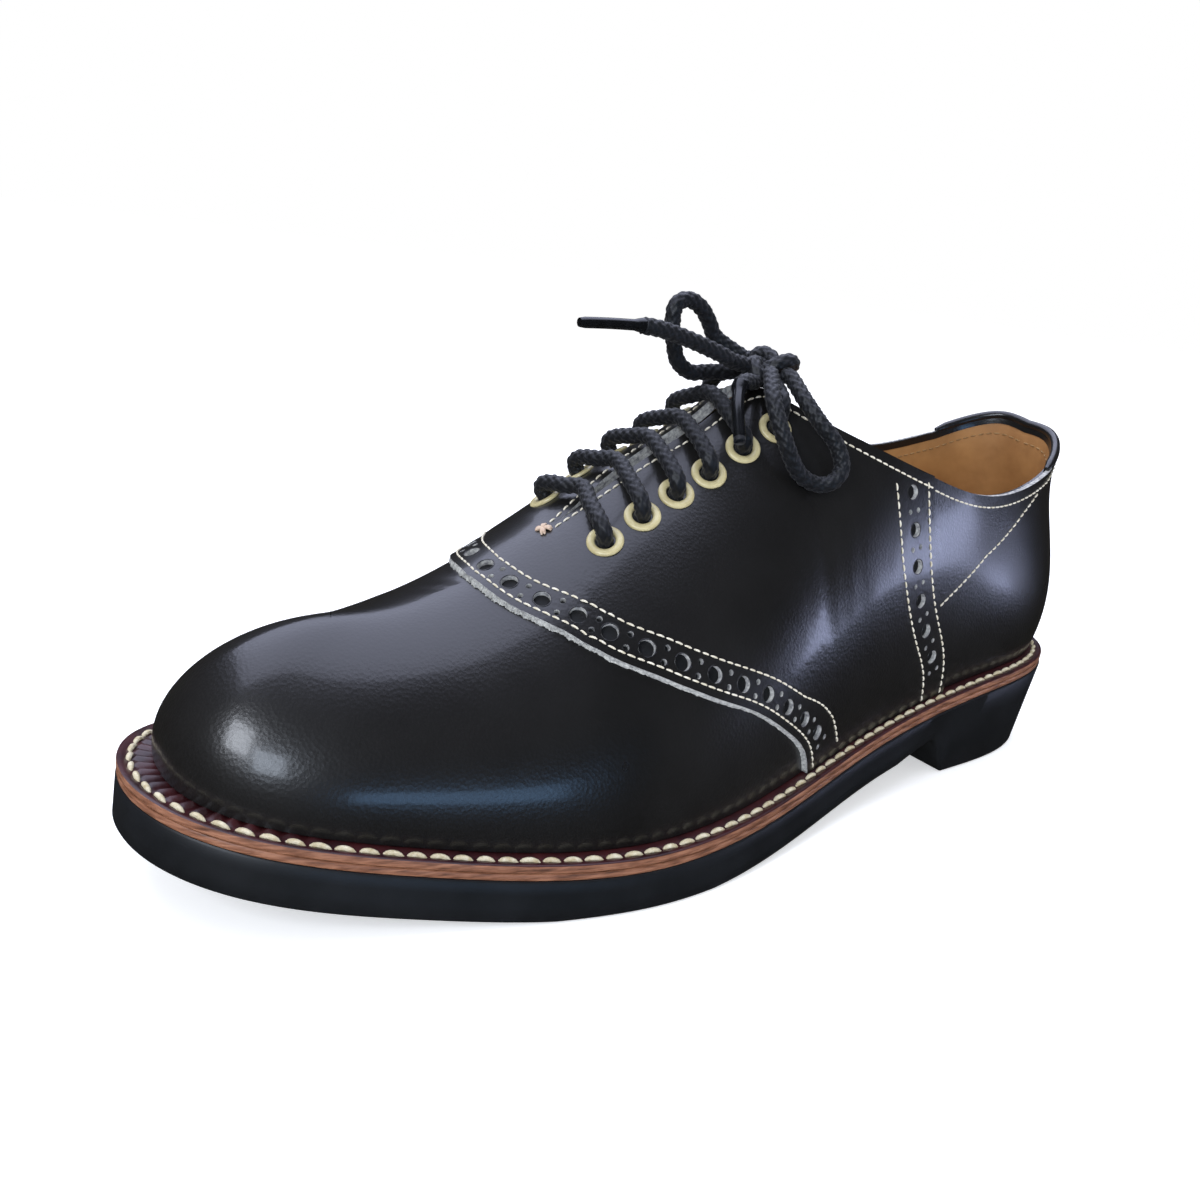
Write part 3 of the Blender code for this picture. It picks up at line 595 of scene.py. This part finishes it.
def holeSpots():   # middle, normal and radius of every hole: large ones, and pairs of pinholes between them
    spots = []
    for side in (1, -1):
        for edge, first, pitch, lastPins in saddlePiece["punched"]:
            t, v, p, _ = bandLine(edge, edge + "Holes", side)
            along = runLength(p)
            at = np.arange(along[-1] - first, saddlePiece["lastHole"], -pitch)
            if side < 0 and not first:   # the hole on the middle line is the outer side's
                at = at[1:]
            for a in at:
                c, n = surface(np.interp(a, along, t), np.interp(a, along, v), side)
                spots.append((c, n, saddlePiece["hole"]))
            for a in [a - pitch / 2 for a in at if a - pitch / 2 > lastPins]:
                column, height = np.interp(a, along, t), np.interp(a, along, v)
                ends = np.array([np.interp([a - .5, a + .5], along, p[:, k]) for k in range(3)])
                _, n = surface(column, height, side)
                across = np.cross(n, ends[:, 1] - ends[:, 0])
                for s in (1, -1):
                    place = slide(column, height, side, across * s * saddlePiece["pinApart"])
                    spots.append((*surface(*place, side), saddlePiece["pin"]))
    return spots


def makeHoles(overlay):
    spots, top = holeSpots(), saddlePiece["low"] + saddlePiece["thick"]
    parts, rims = [], []
    for c, n, r in spots:
        sides, width, height, rimSides = (20, .30, .16, 32) if r > 1 else (10, .14, .07, 14)
        parts.append(cylinder(c + n * .12, n, r, 2.6, sides))
        rims.append(ringMesh(c + n * (top - .06), n, r + .02, width, height, rimSides))
    verts, faces = joined(parts)
    # the cutter's end faces leave a thin floor in each hole, coloured with painted shade; its sides become
    # the grey cut walls
    cutter = newPiece("cutter", verts, faces, [leatherEdge, holeFloorPaintedShade],
                      [1 if len(f) > 4 else 0 for f in faces])
    mod = overlay.modifiers.new("holes", "BOOLEAN")
    mod.operation, mod.solver, mod.object, mod.material_mode = "DIFFERENCE", "MANIFOLD", cutter, "TRANSFER"
    mesh = bpy.data.meshes.new_from_object(overlay.evaluated_get(bpy.context.evaluated_depsgraph_get()))
    overlay.modifiers.clear()
    overlay.data = mesh
    mesh.shade_smooth()
    mesh.set_sharp_from_angle(angle=math.radians(40))
    bpy.data.objects.remove(cutter, do_unlink=True)
    verts, faces = joined(rims)
    newPiece("punchedRims", verts, faces, [leatherBlack], recalc=False)
    return spots


def basis(n):
    aside = np.cross(n, [0, 0, 1.0])
    if np.linalg.norm(aside) < .1:
        aside = np.cross(n, [1.0, 0, 0])
    aside /= np.linalg.norm(aside)
    return aside, np.cross(n, aside)


def cylinder(c, n, r, height, sides):
    aside, above = basis(n)
    a = 2 * np.pi * np.arange(sides) / sides
    ring = r * (np.cos(a)[:, None] * aside + np.sin(a)[:, None] * above)
    verts = np.concatenate([c + ring, c + ring + n * height])
    faces = [[j, (j + 1) % sides, (j + 1) % sides + sides, j + sides] for j in range(sides)]
    return verts, faces + [list(range(sides))[::-1], [j + sides for j in range(sides)]]


def turned(c, n, profile, sides):   # a closed profile of (radius, height) about an axis
    aside, above = basis(n)
    a = 2 * np.pi * np.arange(sides) / sides
    r, h = np.array(profile, float).T
    verts = (c + n * h[None, :, None] + r[None, :, None] * (np.cos(a)[:, None, None] * aside
             + np.sin(a)[:, None, None] * above)).reshape(-1, 3)
    m = len(profile)
    faces = [[j * m + i, j * m + (i + 1) % m, (j + 1) % sides * m + (i + 1) % m, (j + 1) % sides * m + i]
             for j in range(sides) for i in range(m)]
    return verts, faces


def ringMesh(c, n, r, width, height, sides):   # a small raised lip round a hole
    a = np.linspace(0, np.pi, 7)
    profile = [(r + width / 2 - width / 2 * math.cos(x), height * math.sin(x)) for x in a]
    return turned(c, n, profile, sides)


overlay = makeSaddle()
holes = makeHoles(overlay)
print("saddle made with", len(holes), "holes")

# Sole: rubber, midsole edge, welt and insole
solePiece = dict(steps=260, bevel=.9, weltWidth=13.0, weltStep=.2, groove=2.9, midStep=.4, insole=2.0,
                 insoleClear=1.2, gatherFrom=262, gatherOver=22, gatherHeight=.38, gathers=118)
weltStitch = dict(pitch=5.0, length=4.0, radius=.64, rise=.34, skew=.32, sides=9)


def soleLoop(steps):   # (side, column) round the whole outline
    t = np.linspace(0, 1, steps)
    return [(1, t), (-1, t[::-1][1:-1])]


def ringPoints(steps, move, height):
    rows = []
    for side, t in soleLoop(steps):
        p, _ = outline(t, side, move(share(t)) if callable(move) else move)
        rows.append(np.concatenate([p, np.array(height(share(t), p[:, 0] / last["length"]))[:, None]], 1))
    return np.concatenate(rows)


def layer(name, rings, material, sharp=35):
    # stacked outlines closed above and below with strips from side to side
    m = len(rings[0])
    verts = np.concatenate(rings)
    faces = []
    for a in range(len(rings) - 1):
        for i in range(m):
            k = (i + 1) % m
            faces.append([a * m + i, a * m + k, (a + 1) * m + k, (a + 1) * m + i])
    n = (m + 2) // 2
    outer = list(range(n))
    inner = [0] + list(range(m - 1, n - 1, -1)) + [n - 1]
    for base in (0, (len(rings) - 1) * m):
        for i in range(n - 1):
            q = [outer[i], outer[i + 1], inner[i + 1], inner[i]]
            faces.append([x + base for j, x in enumerate(q) if x != q[j - 1]])
    return newPiece(name, verts, faces, [material], sharp=sharp)


def soleBottom(s):
    waist = np.maximum(0, rubberTop(s) - last["rubber"])
    k = np.clip((last["breastTop"] - s) / (last["breastTop"] - last["heelEnd"]), 0, 1)
    return np.where(s <= last["heelEnd"], 0, waist * (1 - k ** 1.6))


def soleTaper(s):
    return np.interp(s, [last["heelEnd"], .326], [3.2, -last["flare"]])


def stacked(steps, profile):   # outlines from rows of (distance in, height over the rubber's top)
    return [ringPoints(steps, move, lambda s, x: rubberTop(x) + z) for move, z in profile]


def makeSole():
    n, b = solePiece["steps"], solePiece["bevel"]
    rings = [ringPoints(n, lambda s: .35 + 0 * s, lambda s, x: rubberTop(s) - .02),
             ringPoints(n, 0.0, lambda s, x: rubberTop(s) - .4)]
    for k in (.33, .66):
        rings.append(ringPoints(n, lambda s: k * soleTaper(s),
                                lambda s, x: (1 - k) * (rubberTop(s) - .4) + k * (soleBottom(s) + b)))
    rings.append(ringPoints(n, soleTaper, lambda s, x: soleBottom(s) + b))
    rings.append(ringPoints(n, lambda s: soleTaper(s) + .35 * b, lambda s, x: soleBottom(s) + .3 * b))
    rings.append(ringPoints(n, lambda s: soleTaper(s) + b, lambda s, x: soleBottom(s)))
    ob = layer("rubberOutsole", rings, rubberBlack, sharp=50)
    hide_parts("outsole")
    step, low, high = solePiece["midStep"], .04, last["gap"] + last["midsole"] + .1
    rings = stacked(n, [(step + .15, high), (step - .1, high - .25), (step - .2, (low + high) / 2),
                        (step - .1, low + .25), (step + .15, low)])
    ob = layer("midsoleEdge", rings, edgeBrown, sharp=60)
    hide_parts("midsole")


def makeWelt():
    low, high, w = last["gap"] + last["midsole"] + .15, band, solePiece["weltWidth"]
    groove, step = solePiece["groove"], solePiece["weltStep"]   # the stitches lie in a shallow groove
    rings = stacked(solePiece["steps"] * 2, [
        (w, low), (w, high), (groove + 1.5, high), (groove + .8, high - .25), (groove, high - .45),
        (groove - .8, high - .25), (groove - 1.3, high + .02), (step + .55, high), (step + .12, high - .2),
        (step, high - .6), (step, low + .3), (step + .3, low)])
    m = len(rings[0])
    # gathers of the welt round the toe, short ridges between the stitches and the upper
    for k, part in ((1, .6), (2, 1)):
        toe = np.clip((rings[k][:, 0] - solePiece["gatherFrom"]) / solePiece["gatherOver"], 0, 1)
        angle = np.arange(m) / m * 2 * np.pi
        rings[k][:, 2] += toe * solePiece["gatherHeight"] * np.sin(angle * solePiece["gathers"]) * part
    faces = []
    for a in range(len(rings)):
        c = (a + 1) % len(rings)
        for i in range(m):
            k = (i + 1) % m
            faces.append([a * m + i, a * m + k, c * m + k, c * m + i])
    kinds = [1 if i // m in (8, 9, 10) else 0 for i in range(len(rings) * m)]
    verts = np.concatenate(rings)
    ob = newPiece("oxbloodWelt", verts, faces, [weltOxblood, edgeBrown], kinds, sharp=50)
    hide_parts("welt")
    line = stacked(1200, [(groove, high - .32)])[0]
    line = np.concatenate([line, line[:1]])
    up = np.tile([0, 0, 1.0], (len(line), 1))
    stitches("weltStitches", [(line, up)], weltStitch, threadCream)


def makeInsole():
    def bed(s):
        edge = last["ball"] * inset(np.arccos(1 - 2 * np.clip(s, 0, 1)) / np.pi)
        return edge + last["wall"] + solePiece["insoleClear"]
    low = band + last["gap"]
    high = low + solePiece["insole"]
    rings = stacked(120, [(lambda s: bed(s) + .6, high), (bed, high - .5), (bed, low)])
    ob = layer("sockInsole", rings, sockTan)
    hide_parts("insole")


makeSole()
makeWelt()
makeInsole()
print("sole made")

# Tongue
tonguePiece = dict(gap=1.5, thick=1.7, end=.70, tip=(-9.0, 0.0, 1.8), low=.56)


def makeTongue():
    ts = np.linspace(last["corner"], tonguePiece["end"], 50)[::-1]
    vs = np.linspace(tonguePiece["low"], .985, 16)
    rows = []
    for t in ts:
        outer, inner = upper(warp(t, vs), vs, 1), upper(warp(t, vs), vs, -1)
        middle = (upper(t, 1.0, 1) + upper(t, 1.0, -1)) / 2
        rows.append(np.concatenate([outer, [middle], inner[::-1]]))
    for k in (.35, .7, 1.0):
        rows.append(rows[len(ts) - 1] + np.array(tonguePiece["tip"]) * k)
    grid = np.array(rows)
    low = -(last["wall"] + tonguePiece["gap"] + tonguePiece["thick"])
    ob = solid("tongueLeather", [(grid, -1)], low, low + tonguePiece["thick"], [leatherBlack, leatherEdge],
               rim=1)
    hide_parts("tongue")


makeTongue()

# Eyelets
eyePiece = dict(first=7.5, pitch=9.4, row={1: (15.0, 13.2), -1: (12.5, 11.8)}, bore=2.5, tube=.35, flange=2.1,
                thick=.75, lace=2.15)


def eyeSpots():
    spots = []
    for side in (1, -1):
        for k in range(6):
            x = last["length"] * float(topX(last["throat"])) - eyePiece["first"] - eyePiece["pitch"] * k
            ts = np.linspace(last["corner"], last["throat"], 400)
            t = float(ts[np.argmin(abs(last["length"] * topX(ts) - x))])
            vs = np.linspace(1, .5, 200)
            run = upper(t, vs, side)
            along = runLength(run)
            v = float(np.interp(np.interp(k, (0, 5), eyePiece["row"][side]), along, vs))
            near = [(t + a, v + b) for a in (-.014, -.007, 0, .007, .014) for b in (-.12, -.06, 0, .06, .12)
                    if v + b < 1]
            n = sum(surface(a, b, side)[1] for a, b in near)
            n /= np.linalg.norm(n)
            p = upper(t, v, side)
            rim = [upper(a, b, side) - p for a, b in near]
            reach = eyePiece["bore"] + eyePiece["flange"] + .6
            swell = max(q.dot(n) for q in rim if np.linalg.norm(q) < reach)
            spots.append((side, k, t, v, p, n, swell))
    return spots


def makeEyelets(spots):
    face = saddlePiece["low"] + saddlePiece["thick"]
    for side, k, t, v, p, n, swell in spots:
        z, b, r = face + swell, eyePiece["bore"], eyePiece["bore"] + eyePiece["flange"]
        a = np.linspace(0, np.pi, 11)
        lip = [((b + r) / 2 + (r - b) / 2 * math.cos(x), z - .02 + eyePiece["thick"] * math.sin(x) ** .8)
               for x in a]
        tube = b + eyePiece["tube"]
        profile = [(tube, -2.2), (tube, z - .2), (r - .1, z - .2)] + lip + [(b, -2.2)]
        verts, faces = turned(p, n, profile, 48)
        name = "%s_%d" % ("outer" if side > 0 else "inner", k + 1)
        ob = newPiece("enamelEyelet_" + name, verts, faces, [enamelCream], sharp=60)
        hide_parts("eyelet_" + name)


spots = eyeSpots()
makeEyelets(spots)
print("eyelets made")

# Lace: round braid, straight bars over the slit, leads, knot and bow
lacePiece = dict(radius=2.1, strands=6, twistMm=15.5, relief=.20, step=.36, sides=40, tag=1.35, pressed=1.52,
                 clear=1.6, leadRise=3.8, leadArch=6.3)
leadIn = [(0.0, -3.0), (0.0, -1.2), (0.0, 1.6), (0.1, 3.5), (0.8, 4.8), (2.5, 5.5), (5.0, 5.3)]
knotPlace = (upper(last["corner"], 1.0, 1) + upper(last["corner"], 1.0, -1)) / 2 + np.array([-1.6, 2.0, 6.6])
bow = dict(   # way points from the knot's middle, as the solids have them
    loopOuter=[(5.3, 7.3, -1.5), (10.8, 15.4, -7.0), (10.0, 20.8, -15.8), (5.4, 22.6, -23.2),
               (0.2, 24.3, -26.0), (-3.8, 26.3, -25.2), (-6.4, 26.4, -21.4), (-5.3, 24.0, -15.8),
               (-2.0, 20.5, -11.1), (-0.4, 15.3, -6.2), (-1.2, 8.3, -1.5)],
    loopInner=[(5.3, -4.1, -1.8), (13.3, -8.5, -3.0), (19.0, -9.0, -3.4), (23.7, -9.0, -0.9),
               (25.8, -9.0, 3.4), (27.3, -9.0, 9.0), (26.8, -9.0, 13.4), (22.9, -9.0, 14.9),
               (18.4, -9.0, 13.2), (15.0, -9.0, 9.8), (11.9, -9.0, 6.1), (5.1, -5.7, 2.2)],
    endOuter=[(7.9, 3.9, -3.6), (13.0, 6.3, -3.2), (16.6, 8.2, -4.4)],
    tagOuter=[(16.2, 8.1, -4.1), (17.0, 8.6, -4.7), (20.5, 12.8, -8.8), (23.4, 18.6, -16.6)],
    endInner=[(8.6, -0.3, 0.4), (13.6, 0.2, 1.2), (18.1, 1.0, 2.6), (28.4, 1.0, 5.4), (38.1, 1.0, 7.4),
              (44.4, 1.0, 8.0)],
    tagInner=[(43.9, 1.0, 8.0), (54.0, 1.0, 7.8), (63.0, 1.0, 7.4)],
    leadOuter=(2.4, 8.3, -5.2), leadInner=(3.0, -9.9, -2.4))


def braid(path, thin=None):
    # a round braid: two families of strands wind opposite ways and pass over and under each other
    r0 = lacePiece["radius"]
    line = evenly(np.array(path, float), lacePiece["step"])
    along = np.arange(len(line)) * np.linalg.norm(np.diff(line, axis=0), axis=1).mean()
    a = 2 * np.pi * np.arange(lacePiece["sides"]) / lacePiece["sides"]
    turn = 2 * np.pi * along[:, None] / lacePiece["twistMm"]
    n = lacePiece["strands"]
    u, w = n * (a[None] + turn) / 2, n * (a[None] - turn) / 2
    over = np.cos(u) * np.cos(w)
    height = np.maximum(np.abs(np.cos(u)) ** .6 * (1 + .5 * over), np.abs(np.cos(w)) ** .6 * (1 - .5 * over))
    radii = r0 * (1 + lacePiece["relief"] * (height - 1.2))
    if thin:   # inside a tip the braid is pressed thin and smooth
        pressed = np.clip((np.linspace(0, 1, len(line)) - thin[0]) / .03, 0, 1)[:, None]
        radii = radii * (1 - pressed) + thin[1] * pressed
    return tubeMesh(line, radii, lacePiece["sides"]), line


def layLace(name, path, node, thin=None):
    (verts, faces), line = braid(path, thin)
    ob = newPiece(name, verts, faces, [cottonBlack], sharp=180, recalc=False)
    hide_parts(node)
    return ob, toFrame(line)


def makeLacing(spots):
    over = lacePiece["clear"] + eyePiece["lace"]
    half = {}
    for side, k, t, v, p, n, swell in spots:
        vs = np.linspace(v, 1, 40)
        run = upper(t, vs, side)
        along = runLength(run)
        points = []
        for way, lift in leadIn:
            q = float(np.interp(way, along, vs))
            c, m = surface(t, q, side)
            points.append(c + (n if way < 1.5 else m) * (lift + swell))
        q = float(np.interp(along[-1] * .66, along, vs))
        c, m = surface(t, q, side)
        half[side, k] = points + [c + m * (over + 1.1)]
    for k in range(5):
        t = spots[k][2]
        top = (upper(t, 1.0, 1) + upper(t, 1.0, -1)) / 2 + np.array([.35, 0, .94]) * (over + .9)
        path = smoothLine(half[1, k] + [top] + half[-1, k][::-1], lacePiece["step"])
        layLace("laceBar_%d" % (k + 1), path, "lace_bar_%d" % (k + 1))
    for side, word, end in ((1, "outer", bow["leadOuter"]), (-1, "inner", bow["leadInner"])):
        p, n = [(q[4], q[5]) for q in spots if q[:2] == (side, 5)][0]
        end = knotPlace + np.array(end)
        toKnot = (knotPlace - end) * .35
        arch = (p + n * lacePiece["leadArch"] + end) / 2 + n * .9
        way = [p - n * 3, p - n * 1.2, p + n * 1.6, p + n * lacePiece["leadRise"], arch, end, end + toKnot]
        layLace("laceLead_" + word, smoothLine(way, lacePiece["step"]), "lace_lead_" + word)


def makeKnot():
    up = np.array([.30, .10, .95]) / np.linalg.norm([.30, .10, .95])
    aside = np.cross(up, [0, 1.0, 0])
    aside /= np.linalg.norm(aside)
    ahead = np.cross(aside, up)
    a = np.linspace(0, 2 * np.pi, 400)
    path = [knotPlace + 2.2 * (
        (math.sin(x) + 2 * math.sin(2 * x)) * aside
        + (math.cos(x) - 2 * math.cos(2 * x)) * ahead - math.sin(3 * x) * up) for x in a]
    layLace("knotTied", path, "knot")


def makeTag(name, points, node, radius):
    line = smoothLine([knotPlace + np.array(p) for p in points], .8)
    k = len(line)
    r = radius * np.interp(np.arange(k), [0, 2, 4, k - 3, k - 1], [1.4, 1.25, 1.0, .97, .8])
    verts, faces = tubeMesh(line, r[:, None], 20)
    ob = newPiece(name, verts, faces, [tipBlack], sharp=50, recalc=False)
    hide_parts(node)
    return ob


def makeBow():
    for word, node in (("Outer", "outer"), ("Inner", "inner")):
        points = [knotPlace + np.array(p) for p in bow["loop" + word]]
        into = [p + (knotPlace - p) * .3 for p in (points[0], points[-1])]   # both ends run into the knot
        points = [into[0]] + points + [into[1]]
        ob, line = layLace("loop" + word, smoothLine(points, lacePiece["step"]), "loop_" + node)
    tip = makeTag("tipInner", bow["tagInner"], "tag_inner", lacePiece["tag"])
    points = [knotPlace + np.array(p) for p in bow["endInner"]]
    points = [points[0] + (knotPlace - points[0]) * .35] + points
    ob, line = layLace("endInner", smoothLine(points, lacePiece["step"]), "end_inner")
    # the short end runs on inside its tip, pressed thin
    tip = makeTag("tipOuter", bow["tagOuter"], "tag_outer", lacePiece["pressed"] + .12)
    points = [knotPlace + np.array(p) for p in bow["endOuter"] + bow["tagOuter"][2:]]
    points = [points[0] + (knotPlace - points[0]) * .35] + points
    path = smoothLine(points, lacePiece["step"])
    start = np.argmin(np.linalg.norm(path - knotPlace - np.array(bow["tagOuter"][1]), axis=1)) / len(path)
    ob, line = layLace("endOuter", path, "end_outer", (start, lacePiece["pressed"]))


makeLacing(spots)
makeKnot()
makeBow()
print("lace made")

# Stitching on the upper
seamPiece = dict(pitch=2.45, length=1.95, radius=.25, rise=.14)


def makeSeams():
    top = saddlePiece["low"] + saddlePiece["thick"] + .02
    rows = []
    for side in (1, -1):
        for edge, name in (("front", "frontFirst"), ("front", "frontSecond"), ("back", "backFirst"),
                           ("back", "backSecond")):
            t, v, _, _ = bandLine(edge, name, side)
            rows.append(surface(t, v, side, top))
        # beside the slit, from the bar tack up to the collar
        t = np.linspace(last["throat"] + .004, last["corner"] + .002, 160)
        goal = np.interp(t, (last["corner"], last["throat"]), (3.4, 1.5))
        v = np.array([heightAt(a, side, g) for a, g in zip(t, goal)])
        rows.append(surface(t, v, side, top))
        # under the collar, on the saddle and on the quarters behind it
        for t0, t1, lift in ((last["corner"] + .002, .384, top), (.384, .002, .02)):
            t = np.linspace(t0, t1, 160)
            v = np.array([heightAt(a, side, 3.4) for a in t])
            rows.append(surface(t, v, side, lift))
        # the heel seam runs down from the back of the collar to the saddle
        v = np.linspace(.93, .43, 120)
        t = np.interp(v, (.423, .695, .866, 1.0), (.362, .307, .251, .194))
        rows.append(surface(t, v, side, .03))
    stitches("seamStitches", rows, seamPiece, threadFine)


def heightAt(t, side, mm):   # the height share this many millimetres below the top line
    vs = np.linspace(1, .7, 40)
    run = upper(t, vs, side)
    along = runLength(run)
    return float(np.interp(mm, along, vs))


makeSeams()


# Small parts of the upper: raw front edge, bar tack, binding
detailPiece = dict(rawReach=.4, rawRough=.4, tack=1.9, tackRadius=.55, binding=1.5, bindingEnd=.2)


def makeRawEdge():
    # the undyed underlay peeps out, fuzzy, along the whole front edge of the saddle
    for side, word in ((1, "Outer"), (-1, "Inner")):
        v = np.linspace(.006, 1, 620)
        t = saddleFront(v)
        p, n = surface(t, v, side)
        tangent = np.gradient(p, axis=0)
        tangent /= np.linalg.norm(tangent, axis=1)[:, None]
        ahead = np.cross(n, tangent) * side
        ahead *= np.sign(ahead[:, 0].mean())
        soft = np.convolve(rng.standard_normal(len(v) + 6), np.ones(3) / 3, "same")[3:-3]
        coarse = np.convolve(rng.standard_normal(len(v) + 40), np.hanning(21) / 6, "same")[20:-20]
        rough = (soft * .7 + coarse * .6) * table([(0, .25), (.5, .5), (.8, 1), (1, 1)], v)
        rough = rough * detailPiece["rawRough"]
        reach = detailPiece["rawReach"]
        rows = []
        for move, lift in ((-.8, .1), (reach + .25 + rough, .06), (reach + rough, .45),
                           (reach * .6 + rough * .8, .85), (.02, 1.2)):
            q, m = surface(np.clip(t, 0, 1), v, side, lift)
            rows.append(q + ahead * np.broadcast_to(move, v.shape)[:, None])
        verts = np.concatenate(rows)
        k, faces = len(v), []
        for a in range(len(rows)):
            c = (a + 1) % len(rows)
            faces += [[a * k + i, a * k + i + 1, c * k + i + 1, c * k + i] for i in range(k - 1)]
        newPiece("rawEdge" + word, verts, faces, [feltEdge], sharp=30)


def makeBarTack():
    t = last["throat"] + .012
    c = (upper(t, 1.0, 1) + upper(t, 1.0, -1)) / 2
    ahead = (upper(t + .01, 1.0, 1) + upper(t + .01, 1.0, -1)) / 2 - c
    ahead /= np.linalg.norm(ahead)
    across = np.array([0, 1.0, 0])
    n = np.cross(ahead, across)
    n *= np.sign(n[2])
    c = c + n * (saddlePiece["low"] + saddlePiece["thick"] + .1)
    parts, r = [], detailPiece["tackRadius"]
    for angle in (40, 62, 118, 140, 220, 242, 298, 320):
        d = math.cos(math.radians(angle)) * ahead + math.sin(math.radians(angle)) * across
        arc = ((.1, .1), (.35, .42), (.65, .45), (.95, .2), (1.1, -.3))
        path = [c + d * s * detailPiece["tack"] + n * h for s, h in arc]
        parts.append(tubeMesh(path, r * np.array([.5, .8, .9, .8, .4])[:, None], 8))
    verts, faces = joined(parts)
    newPiece("barTack", verts, faces, [threadTack], recalc=False)


def makeBinding():
    t = detailPiece["bindingEnd"]
    outer = surface(np.linspace(t, 0.002, 60), .9985, 1, -1.15)[0]
    inner = surface(np.linspace(0.002, t, 60), .9985, -1, -1.15)[0]
    path = evenly(np.concatenate([outer, inner]) + np.array([0, 0, .55]), .8)
    k = np.arange(len(path))
    r = detailPiece["binding"] * np.interp(k, [0, 5, len(path) - 6, len(path) - 1], [.55, 1, 1, .55])
    verts, faces = tubeMesh(path, r[:, None], 14)
    newPiece("heelBinding", verts, faces, [leatherBlack], recalc=False)


def makeLiningSeam():
    rows, low = [], upperPiece["leather"] + upperPiece["liningGap"] + upperPiece["lining"] + .02
    for side in (1, -1):
        t = np.linspace(.40, .004, 150)
        v = np.array([heightAt(a, side, 5.6) for a in t])
        p, n = surface(t, v, side, -low)
        rows.append((p, -n))
    stitches("liningStitches", rows, dict(seamPiece, pitch=2.6), threadTan)


makeRawEdge()
makeBarTack()
makeBinding()
makeLiningSeam()
print("seams made")

# Camera: the photograph's angle to the shoe
view = dict(azimuth=37.5, elevation=17.1, distance=286.1, target=(186.4, 0.0, 55.7), roll=7.5, focal=1087.2,
            frame=1200, sensor=36.0)


def makeCamera():
    a, e, r = (math.radians(view[k]) for k in ("azimuth", "elevation", "roll"))
    outward = np.array([math.sin(a) * math.cos(e), math.cos(a) * math.cos(e), math.sin(e)])
    place = np.array(view["target"]) + outward * view["distance"]
    right = np.cross(-outward, [0, 0, 1.0])
    right /= np.linalg.norm(right)
    up = np.cross(right, -outward)
    right, up = right * math.cos(r) + up * math.sin(r), -right * math.sin(r) + up * math.cos(r)
    data = bpy.data.cameras.new("camera")
    data.sensor_width = view["sensor"]
    data.lens = view["focal"] / view["frame"] * view["sensor"]
    data.clip_start = .01
    cam = bpy.data.objects.new("camera", data)
    bpy.context.scene.collection.objects.link(cam)
    place = toFrame(place)
    rows = [[right[i], up[i], outward[i], place[i]] for i in range(3)] + [[0, 0, 0, 1]]
    cam.matrix_world = Matrix(rows)
    bpy.context.scene.camera = cam


makeCamera()

# Studio
studio = dict(
    floor=14.0, low="#35332f", high="#4c4f5a", ambient=.6,
    lights=[   # name, place, aim, size in metres, watts, colour
        ("ceilingBack", (-.08, -.42, 1.12), (.1, 0, .05), (1.7, 1.5), 21.0, "#dde3ff"),
        ("windowToe", (.76, .32, .55), (.13, .01, .04), (.28, .30), 3.3, "#eef4ff"),
        ("windowToeLow", (.62, .60, .42), (.13, .02, .04), (.25, .25), 1.9, "#e2eeff"),
        ("heelStrip", (-.90, .51, .07), (-.08, .03, .07), (.12, .15), .6, "#ccd6ff"),
        ("lowBlue", (.14, .93, .08), (.09, .035, .03), (.30, .15), .75, "#8ab6e8")])


def areaLight(name, place, target, size, power, colour):
    data = bpy.data.lights.new(name, "AREA")
    data.shape, data.size, data.size_y = "RECTANGLE", size[0], size[1]
    data.energy, data.color = power, hexColour(colour)[:3]
    ob = bpy.data.objects.new(name, data)
    bpy.context.scene.collection.objects.link(ob)
    z = np.array(place, float) - np.array(target, float)
    z /= np.linalg.norm(z)
    x = np.cross([0, 0, 1.0], z)
    x /= np.linalg.norm(x)
    y = np.cross(z, x)
    ob.matrix_world = Matrix([[x[i], y[i], z[i], place[i]] for i in range(3)] + [[0, 0, 0, 1]])


def makeStudio():
    mesh = bpy.data.meshes.new("floor")
    s = studio["floor"]
    mesh.from_pydata([(-s, -s, 0), (s, -s, 0), (s, s, 0), (-s, s, 0)], [], [(0, 1, 2, 3)])
    floor = bpy.data.objects.new("floor", mesh)
    bpy.context.scene.collection.objects.link(floor)
    mat, _, shader, _ = newMaterial("matt white paper floor", Roughness=1.0, Emission_Strength=.48)
    shader.inputs["Base Color"].default_value = hexColour("#f2f2f2")
    shader.inputs["Emission Color"].default_value = hexColour("#ffffff")
    shader.inputs["Specular IOR Level"].default_value = 0.0
    mesh.materials.append(mat)
    floor.location.z = -.0002
    floor.visible_glossy = False   # a cut-out photo: the leather mirrors a dark room, not a bright floor
    world = bpy.data.worlds.new("studio")
    bpy.context.scene.world = world
    world.use_nodes = True
    tree = world.node_tree
    sky = tree.nodes["Background"]
    coords = addNode(tree, "ShaderNodeTexCoord")
    axes = addNode(tree, "ShaderNodeSeparateXYZ", {}, {"Vector": (coords, "Generated")})
    room = addNode(tree, "ShaderNodeValToRGB", {}, {"Fac": (axes, "Z")})
    stops = room.color_ramp.elements
    stops[0].position, stops[0].color = 0.0, hexColour(studio["low"])
    stops[1].position, stops[1].color = .9, hexColour(studio["high"])
    path = addNode(tree, "ShaderNodeLightPath")
    mix = addNode(tree, "ShaderNodeMix", {"data_type": "RGBA", 6: (1, 1, 1, 1)},
                  {0: (path, "Is Glossy Ray"), 7: (room, "Color")})
    tree.links.new(mix.outputs[2], sky.inputs["Color"])
    strength = addNode(tree, "ShaderNodeMix", {"data_type": "FLOAT", 2: studio["ambient"], 3: 1.0},
                       {0: (path, "Is Camera Ray")})
    tree.links.new(strength.outputs[0], sky.inputs["Strength"])
    bpy.context.scene.view_settings.view_transform = "Standard"
    for name, place, target, size, power, colour in studio["lights"]:
        areaLight(name, place, target, size, power, colour)


makeStudio()
print("camera and studio ready")
